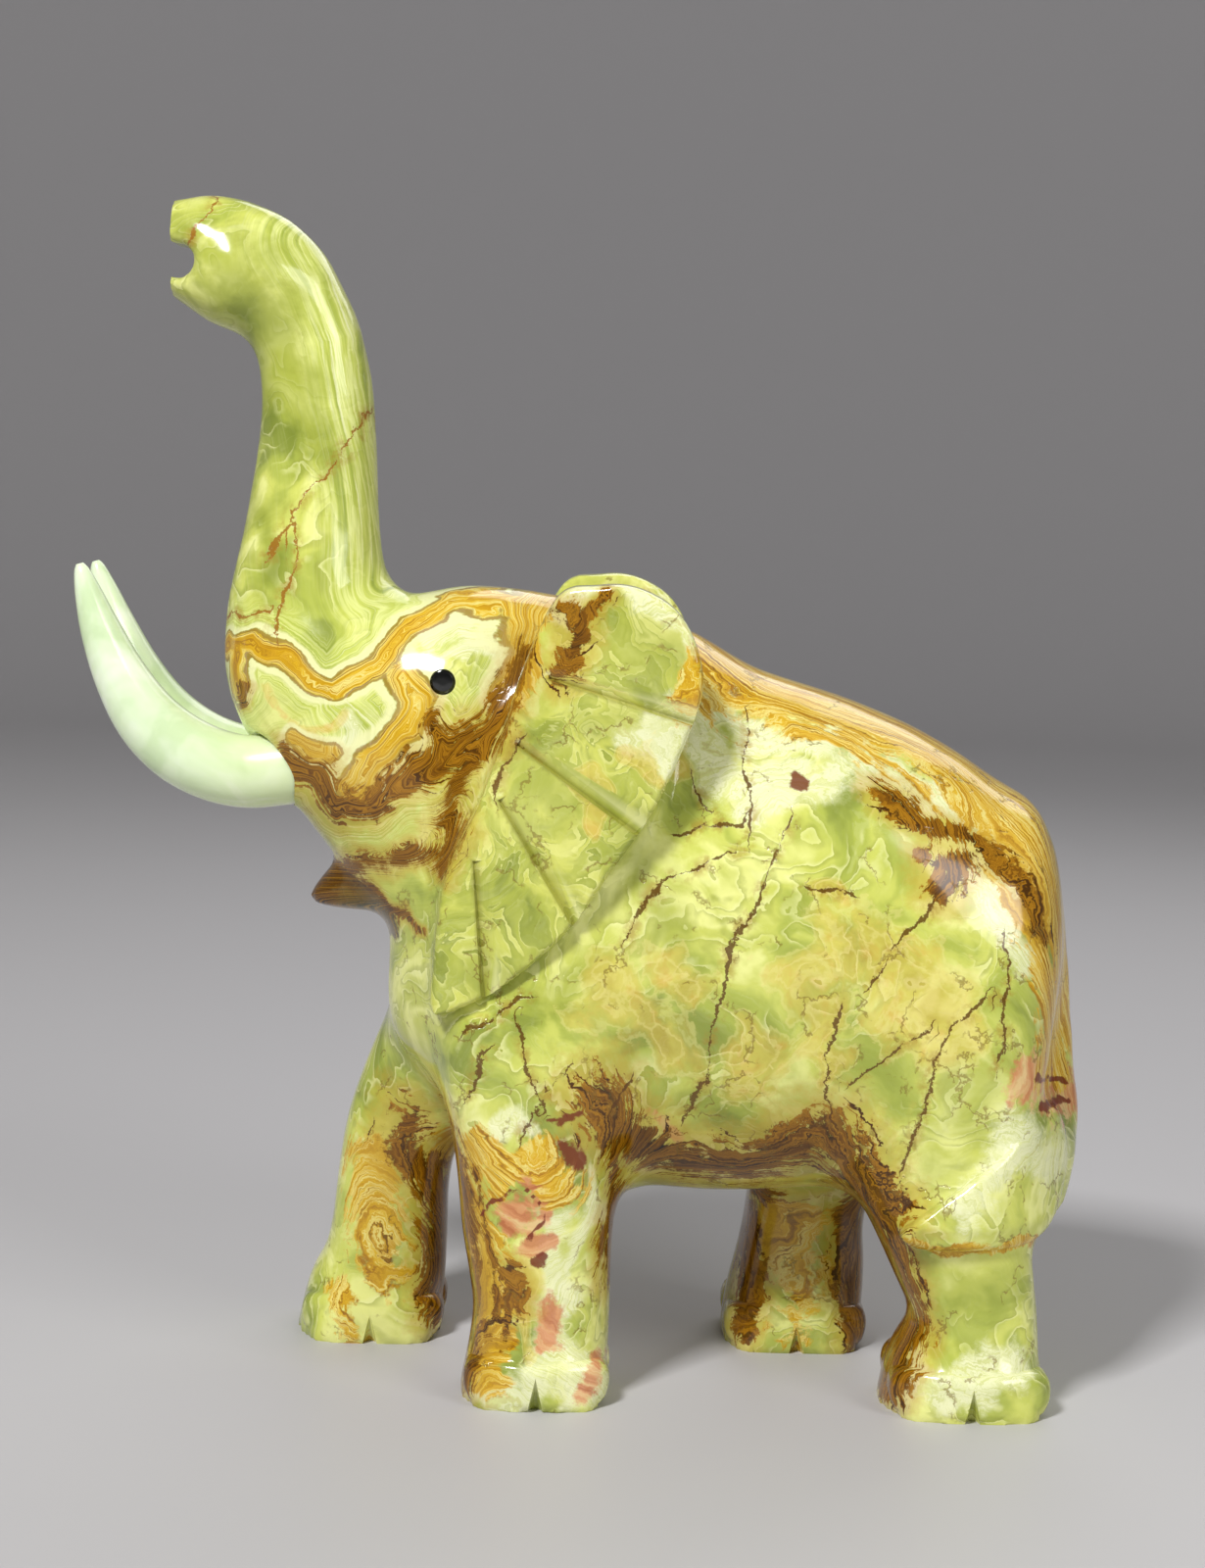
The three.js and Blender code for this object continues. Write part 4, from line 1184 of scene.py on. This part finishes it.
def onyxFinish():
    finish = Finish("greenOnyx")
    place = finish.place()
    brown, gold, cream, orange = finish.stored("stainA")
    salmon, maroon, deep, crackSide = finish.stored("stainB")
    strata, head, ear, crackNear = finish.stored("stainC")
    # the third value is the pleats' painted shade (above 0) and painted highlight (below 0)
    rearEdge, swirl, pleatShadeAndHighlight, lowLip = finish.stored("stainAndPaintedShadeD")
    x, _, z = finish.parts(place)
    elsewhere = finish.minus(1.0, head)

    # unevenness shared by the patterns
    drift = finish.vector("SUBTRACT", finish.noise(place, 24, 2, 0.5, colour=True), (0.5, 0.5, 0.5))
    fineDrift = finish.vector("SUBTRACT", finish.noise(place, 4, 3, 0.6, colour=True), (0.5, 0.5, 0.5))
    warped = finish.vector("ADD", place, finish.vector("SCALE", drift, 20.0))
    warped = finish.vector("ADD", warped, finish.vector("SCALE", fineDrift, 1.8))
    rag = finish.minus(finish.noise(place, 4.2, 5, 0.7), 0.5)
    slowRag = finish.minus(finish.noise(warped, 9, 4, 0.6), 0.5)

    # fine layers: quick across the strata, slow along them
    wave = finish.times(slowRag, finish.calc("MULTIPLY_ADD", elsewhere, 3.4, 0.9))
    phase = finish.plus(strata, wave)
    slowX = finish.times(x, 0.02)
    slowZ = finish.times(z, 0.02)
    layers = finish.noise(finish.combine(finish.times(phase, 0.42), slowX, slowZ), 1.0, 3, 0.65)
    fineLayers = finish.noise(finish.combine(finish.times(phase, 1.5), slowX, slowZ), 1.0, 3, 0.7)

    # green ground: soft clouds whose edges step like agate
    cloud = finish.noise(warped, 26, 4, 0.5, 0.4)
    ground = finish.ramp(
        cloud, (0.34, tone(134, 146, 62)), (0.43, tone(174, 184, 80)), (0.51, tone(206, 211, 102)),
        (0.59, tone(234, 236, 146)), (0.68, tone(196, 202, 96)), smooth=True,
    )
    terrace = finish.calc("FRACT", finish.times(finish.noise(warped, 27, 3, 0.5, 0.5), 13.0))
    terraceShare = finish.step(finish.noise(place, 19, 2), 0.4, 0.56)
    paleEdge = finish.times(finish.step(terrace, 0.3, 0.0), terraceShare)
    darkEdge = finish.times(finish.step(terrace, 0.55, 1.0), terraceShare)
    ground = finish.lay(ground, darkEdge, 0.5, tone(138, 146, 56))
    ground = finish.lay(ground, paleEdge, 0.6, tone(240, 241, 172))

    # the ears' olive, with scalloped edges
    poolTone = finish.ramp(cloud, (0.36, tone(112, 126, 40)), (0.62, tone(162, 171, 66)))
    earCloud = finish.noise(warped, 17, 3, 0.5, 0.8)
    earTone = finish.ramp(
        earCloud, (0.34, tone(122, 133, 38)), (0.45, tone(172, 179, 66)), (0.54, tone(208, 210, 94)),
        (0.63, tone(230, 229, 134)), smooth=True,
    )
    ground = finish.lay(ground, ear, 0.7, earTone)
    scallop = finish.calc("FRACT", finish.times(earCloud, 12.0))
    scallopShare = finish.times(ear, finish.step(finish.noise(place, 14, 2), 0.42, 0.55))
    ground = finish.lay(ground, scallopShare, finish.step(scallop, 0.4, 1.3), poolTone)
    scallopEdge = finish.times(scallopShare, finish.step(scallop, 0.28, 0.0))
    ground = finish.lay(ground, scallopEdge, 0.5, tone(236, 236, 154))

    # layers round the head and down the back of the trunk
    striped = finish.calc("MAXIMUM", finish.step(rearEdge, 18.0, 8.0), swirl)
    striped = finish.times(striped, head)
    layerTint = finish.ramp(
        layers, (0.33, tone(148, 164, 66)), (0.44, tone(188, 199, 90)), (0.51, tone(228, 234, 152)),
        (0.56, tone(200, 210, 102)), (0.68, tone(170, 184, 76)),
    )
    ground = finish.mix(finish.calc("MULTIPLY_ADD", striped, 0.75, 0.08), ground, layerTint)
    paleLine = finish.step(fineLayers, 0.57, 0.66)
    paleShare = finish.calc("MULTIPLY_ADD", striped, 0.6, 0.08)
    ground = finish.lay(ground, paleLine, paleShare, tone(242, 244, 194))

    # deeper green pools
    pool = finish.step(finish.plus(deep, finish.times(slowRag, 2.4)), -0.9, 0.9)
    ground = finish.lay(ground, pool, finish.calc("MULTIPLY_ADD", head, 0.25, 0.5), poolTone)

    # cream stripes and patches
    creamMask = finish.step(finish.plus(cream, finish.times(rag, 1.8)), -0.3, 0.6)
    creamTone = finish.ramp(
        fineLayers, (0.3, tone(208, 200, 142)), (0.4, tone(222, 226, 156)), (0.52, tone(244, 245, 206)),
        (0.6, tone(214, 218, 150)), (0.7, tone(246, 247, 216)),
    )
    ground = finish.lay(ground, creamMask, 0.8, creamTone)

    # orange-yellow patches with an agate rim
    orangeField = finish.plus(orange, finish.times(slowRag, 2.6))
    orangeTone = finish.ramp(
        finish.noise(warped, 7, 4), (0.35, tone(206, 172, 70)), (0.52, tone(222, 198, 92)),
        (0.68, tone(220, 158, 62)),
    )
    ground = finish.lay(ground, finish.step(orangeField, -0.5, 0.4), 0.5, orangeTone)
    for low in (-0.34, 0.3):
        inner = finish.step(orangeField, low, low + 0.1)
        outer = finish.step(orangeField, low + 0.3, low + 0.16)
        ground = finish.lay(ground, finish.times(inner, outer), 0.28, tone(234, 228, 146))

    # salmon
    salmonMask = finish.step(finish.plus(salmon, finish.times(rag, 3.2)), -0.2, 0.5)
    salmonTone = finish.ramp(
        layers, (0.35, tone(184, 92, 62)), (0.5, tone(216, 142, 98)), (0.62, tone(232, 194, 140)),
    )
    ground = finish.lay(ground, salmonMask, 0.85, salmonTone)

    # gold layers with brown and cream lines in them
    goldRag = finish.times(rag, finish.calc("MULTIPLY_ADD", elsewhere, 1.2, 0.7))
    goldField = finish.plus(gold, goldRag)
    goldStrand = finish.times(finish.minus(layers, 0.5), 3.2)
    goldMask = finish.step(finish.plus(goldField, finish.times(goldStrand, elsewhere)), -0.3, 0.1)
    creamRim = finish.times(finish.step(goldField, -1.3, -0.8), finish.step(goldField, -0.3, -0.45))
    ground = finish.lay(ground, creamRim, finish.times(head, 0.85), tone(236, 236, 176))
    goldTone = finish.ramp(
        fineLayers, (0.28, tone(92, 54, 2)), (0.36, tone(158, 104, 6)), (0.44, tone(198, 148, 14)),
        (0.51, tone(220, 178, 38)), (0.56, tone(236, 222, 132)), (0.61, tone(202, 152, 14)),
        (0.68, tone(118, 74, 2)),
    )
    ground = finish.lay(ground, goldMask, 0.94, goldTone)
    brownRim = finish.times(finish.step(goldField, -0.42, -0.3), finish.step(goldField, 0.0, -0.14))
    ground = finish.lay(ground, brownRim, finish.times(head, 0.7), tone(140, 88, 20))

    # brown iron stain with a rusty halo
    strand = finish.minus(fineLayers, 0.5)
    brownField = finish.plus(brown, finish.times(rag, 2.8))
    brownMask = finish.step(finish.plus(brownField, finish.times(strand, 3.6)), -0.05, 0.25)
    brownTone = finish.ramp(
        fineLayers, (0.32, tone(42, 25, 2)), (0.42, tone(84, 52, 4)), (0.5, tone(122, 78, 8)),
        (0.57, tone(168, 118, 20)), (0.64, tone(74, 44, 4)),
    )
    halo = finish.times(finish.step(brownField, -1.6, -0.1), 0.5)
    ground = finish.mix(halo, ground, tone(192, 154, 50))
    ground = finish.mix(brownMask, ground, brownTone)
    lipTone = finish.ramp(
        fineLayers, (0.38, tone(34, 18, 2)), (0.5, tone(92, 58, 6)), (0.62, tone(150, 108, 24)),
    )
    lipMask = finish.step(finish.plus(lowLip, finish.times(rag, 1.2)), 0.35, 0.6)
    ground = finish.lay(ground, lipMask, 0.9, lipTone)

    maroonMask = finish.step(finish.plus(maroon, finish.times(rag, 2.4)), -0.1, 0.35)
    ground = finish.lay(ground, maroonMask, 0.9, tone(112, 32, 14))

    # drawn cracks, wandering and broken up, with a stain along them
    grit = finish.minus(finish.noise(place, 1.3, 3, 0.7), 0.5)
    crackAt = finish.plus(crackSide, finish.times(rag, 3.6))
    crackAt = finish.plus(crackAt, finish.times(grit, 2.0))
    crackWidth = finish.calc("MULTIPLY_ADD", finish.noise(place, 6, 4, 0.7), 2.2, -0.78)
    crackLine = finish.minus(crackWidth, finish.calc("ABSOLUTE", crackAt))
    crackLine = finish.times(finish.step(crackLine, -0.12, 0.12), finish.step(crackNear, 2.8, 1.6))
    crackPatch = finish.step(finish.noise(place, 5, 4, 0.7), 0.46, 0.62)
    crackHalo = finish.times(finish.step(crackNear, 3.4, 0.4), crackPatch)
    ground = finish.lay(ground, crackHalo, 0.6, tone(160, 124, 40))
    crackTone = finish.mix(head, tone(92, 56, 10), tone(150, 98, 26))
    ground = finish.lay(ground, crackLine, 0.9, crackTone)

    # fine random cracks, short and few
    web = finish.cells(finish.vector("ADD", place, finish.vector("SCALE", fineDrift, 9.0)), 15)
    webShare = finish.step(finish.noise(place, 9, 3), 0.52, 0.6)
    webLine = finish.times(finish.step(web, 0.03, 0.008), webShare)
    webLine = finish.times(webLine, finish.calc("MULTIPLY_ADD", head, -0.9, 1.0))
    ground = finish.lay(ground, webLine, 0.6, tone(120, 92, 28))

    # the pleats: painted shade in the creases, and a painted highlight on their gentle side
    ground = finish.lay(ground, finish.step(pleatShadeAndHighlight, 0.0, 1.0), 0.5, tone(112, 104, 34))
    ground = finish.lay(ground, finish.step(pleatShadeAndHighlight, 0.0, -1.0), 0.5, tone(242, 242, 178))

    finish.put(finish.shader.inputs["Base Color"], ground)
    finish.polish(onyxPolish)
    pits = finish.minus(0.0, finish.calc("MAXIMUM", crackLine, webLine))
    finish.put(finish.shader.inputs["Normal"], finish.bump(pits, 0.3, 0.0003))
    return finish.material


tuskPolish = {
    "Roughness": 0.22,
    "IOR": 1.52,
    "Subsurface Weight": 0.3,
    "Subsurface Radius": (1.0, 1.0, 0.7),
    "Subsurface Scale": 0.005,
    "Coat Weight": 0.35,
    "Coat Roughness": 0.08,
}


def tuskFinish():
    finish = Finish("whiteOnyx")
    place = finish.place()
    x, y, z = finish.parts(place)
    cloud = finish.noise(place, 16, 3, 0.5, 0.6)
    colour = finish.ramp(
        cloud, (0.35, tone(206, 226, 180)), (0.5, tone(222, 238, 200)), (0.65, tone(236, 246, 220)),
        smooth=True,
    )
    toRoot = finish.step(x, -112.0, -72.0)
    colour = finish.lay(colour, toRoot, 0.5, tone(212, 226, 158))
    drawnOut = finish.combine(finish.times(y, 0.5), finish.times(x, 0.04), finish.times(z, 0.04))
    band = finish.noise(drawnOut, 1.0, 2)
    colour = finish.lay(colour, finish.step(band, 0.55, 0.7), 0.25, tone(250, 254, 244))
    finish.put(finish.shader.inputs["Base Color"], colour)
    finish.polish(tuskPolish)
    return finish.material


eyePolish = {"Roughness": 0.08, "Coat Weight": 0.6, "Coat Roughness": 0.03}


def eyeFinish():
    finish = Finish("blackStone")
    place = finish.place()
    colour = finish.ramp(finish.noise(place, 1.2, 3), (0.4, tone(6, 7, 6)), (0.7, tone(20, 22, 19)))
    finish.put(finish.shader.inputs["Base Color"], colour)
    finish.polish(eyePolish)
    return finish.material


paintStone(stone)
print("painted")
greenOnyx = onyxFinish()
whiteOnyx = tuskFinish()
blackStone = eyeFinish()
stone.data.materials.clear()
stone.data.materials.append(greenOnyx)
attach(stone, "root")
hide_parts("elephant_body")
for side in ("left", "right"):
    tusks[side].data.materials.append(whiteOnyx)
    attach(tusks[side], "root")
    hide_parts(f"tusk_{side}")
    eyes[side].data.materials.append(blackStone)
    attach(eyes[side], "root")
    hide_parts(f"eye_{side}")


# Floor, light and camera
def plainFinish(name, colour, rough):
    finish = bpy.data.materials.new(name)
    finish.use_nodes = True
    shader = finish.node_tree.nodes["Principled BSDF"]
    shader.inputs["Base Color"].default_value = (*colour, 1)
    shader.inputs["Roughness"].default_value = rough
    return finish


roomSet = {
    "radius": 3.2,
    "wall": 2.6,
    "sweep": 1.2,
    "floorColour": (0.52, 0.51, 0.52),
    "floorRough": 0.55,
    "airColour": (0.9, 0.88, 0.85, 1),
    "airStrength": 0.18,
}
deselectAll()
bpy.ops.mesh.primitive_circle_add(vertices=128, radius=roomSet["radius"], fill_type="NGON")
floor = bpy.context.object
floor.name = "floor"
bpy.ops.object.mode_set(mode="EDIT")
bpy.ops.mesh.select_mode(type="EDGE")
bpy.ops.mesh.select_all(action="SELECT")
bpy.ops.mesh.extrude_edges_move(TRANSFORM_OT_translate={"value": (0, 0, roomSet["wall"])})
bpy.ops.object.mode_set(mode="OBJECT")
sweep = floor.modifiers.new("sweep", "BEVEL")
sweep.width = roomSet["sweep"]
sweep.segments = 24
sweep.limit_method = "ANGLE"
sweep.angle_limit = math.radians(60)
applyModifiers(floor)
pick(floor)
bpy.ops.object.shade_smooth_by_angle(angle=math.radians(30))
floor.data.materials.append(plainFinish("paleFloor", roomSet["floorColour"], roomSet["floorRough"]))


def softBox(name, place, aim, width, height, power):
    deselectAll()
    bpy.ops.object.light_add(type="AREA", location=place)
    lamp = bpy.context.object
    lamp.name = name
    lamp.data.shape = "RECTANGLE"
    lamp.data.size = width
    lamp.data.size_y = height
    lamp.data.energy = power
    lamp.rotation_euler = (Vector(aim) - Vector(place)).to_track_quat("-Z", "Y").to_euler()
    return lamp


# place, aim, width, height and power of each light, in metres and watts
lightSet = {
    "keyBox": ((-0.72, -1.3, 1.6), (0, 0, 0.13), 0.35, 0.35, 42),
    "fillBox": ((1.3, -1.3, 1.0), (0, 0, 0.12), 0.8, 0.8, 13),
    "backBox": ((0.35, 0.85, 0.9), (0, 0, 0.15), 0.9, 0.6, 3),
}
for name, values in lightSet.items():
    softBox(name, *values)
world = bpy.data.worlds.new("room")
bpy.context.scene.world = world
world.use_nodes = True
world.node_tree.nodes["Background"].inputs["Color"].default_value = roomSet["airColour"]
world.node_tree.nodes["Background"].inputs["Strength"].default_value = roomSet["airStrength"]

cameraData = bpy.data.cameras.new("photoView")
camera = bpy.data.objects.new("photoView", cameraData)
bpy.context.scene.collection.objects.link(camera)
cameraData.sensor_fit = "AUTO"
cameraData.sensor_width = photoSet["sensor"]
cameraData.lens = photoSet["lens"]
camera.matrix_world = Matrix.Translation(Vector(photoSet["place"]) * mm) @ photoTurn()
bpy.context.scene.camera = camera

bpy.context.scene.view_settings.view_transform = "Standard"
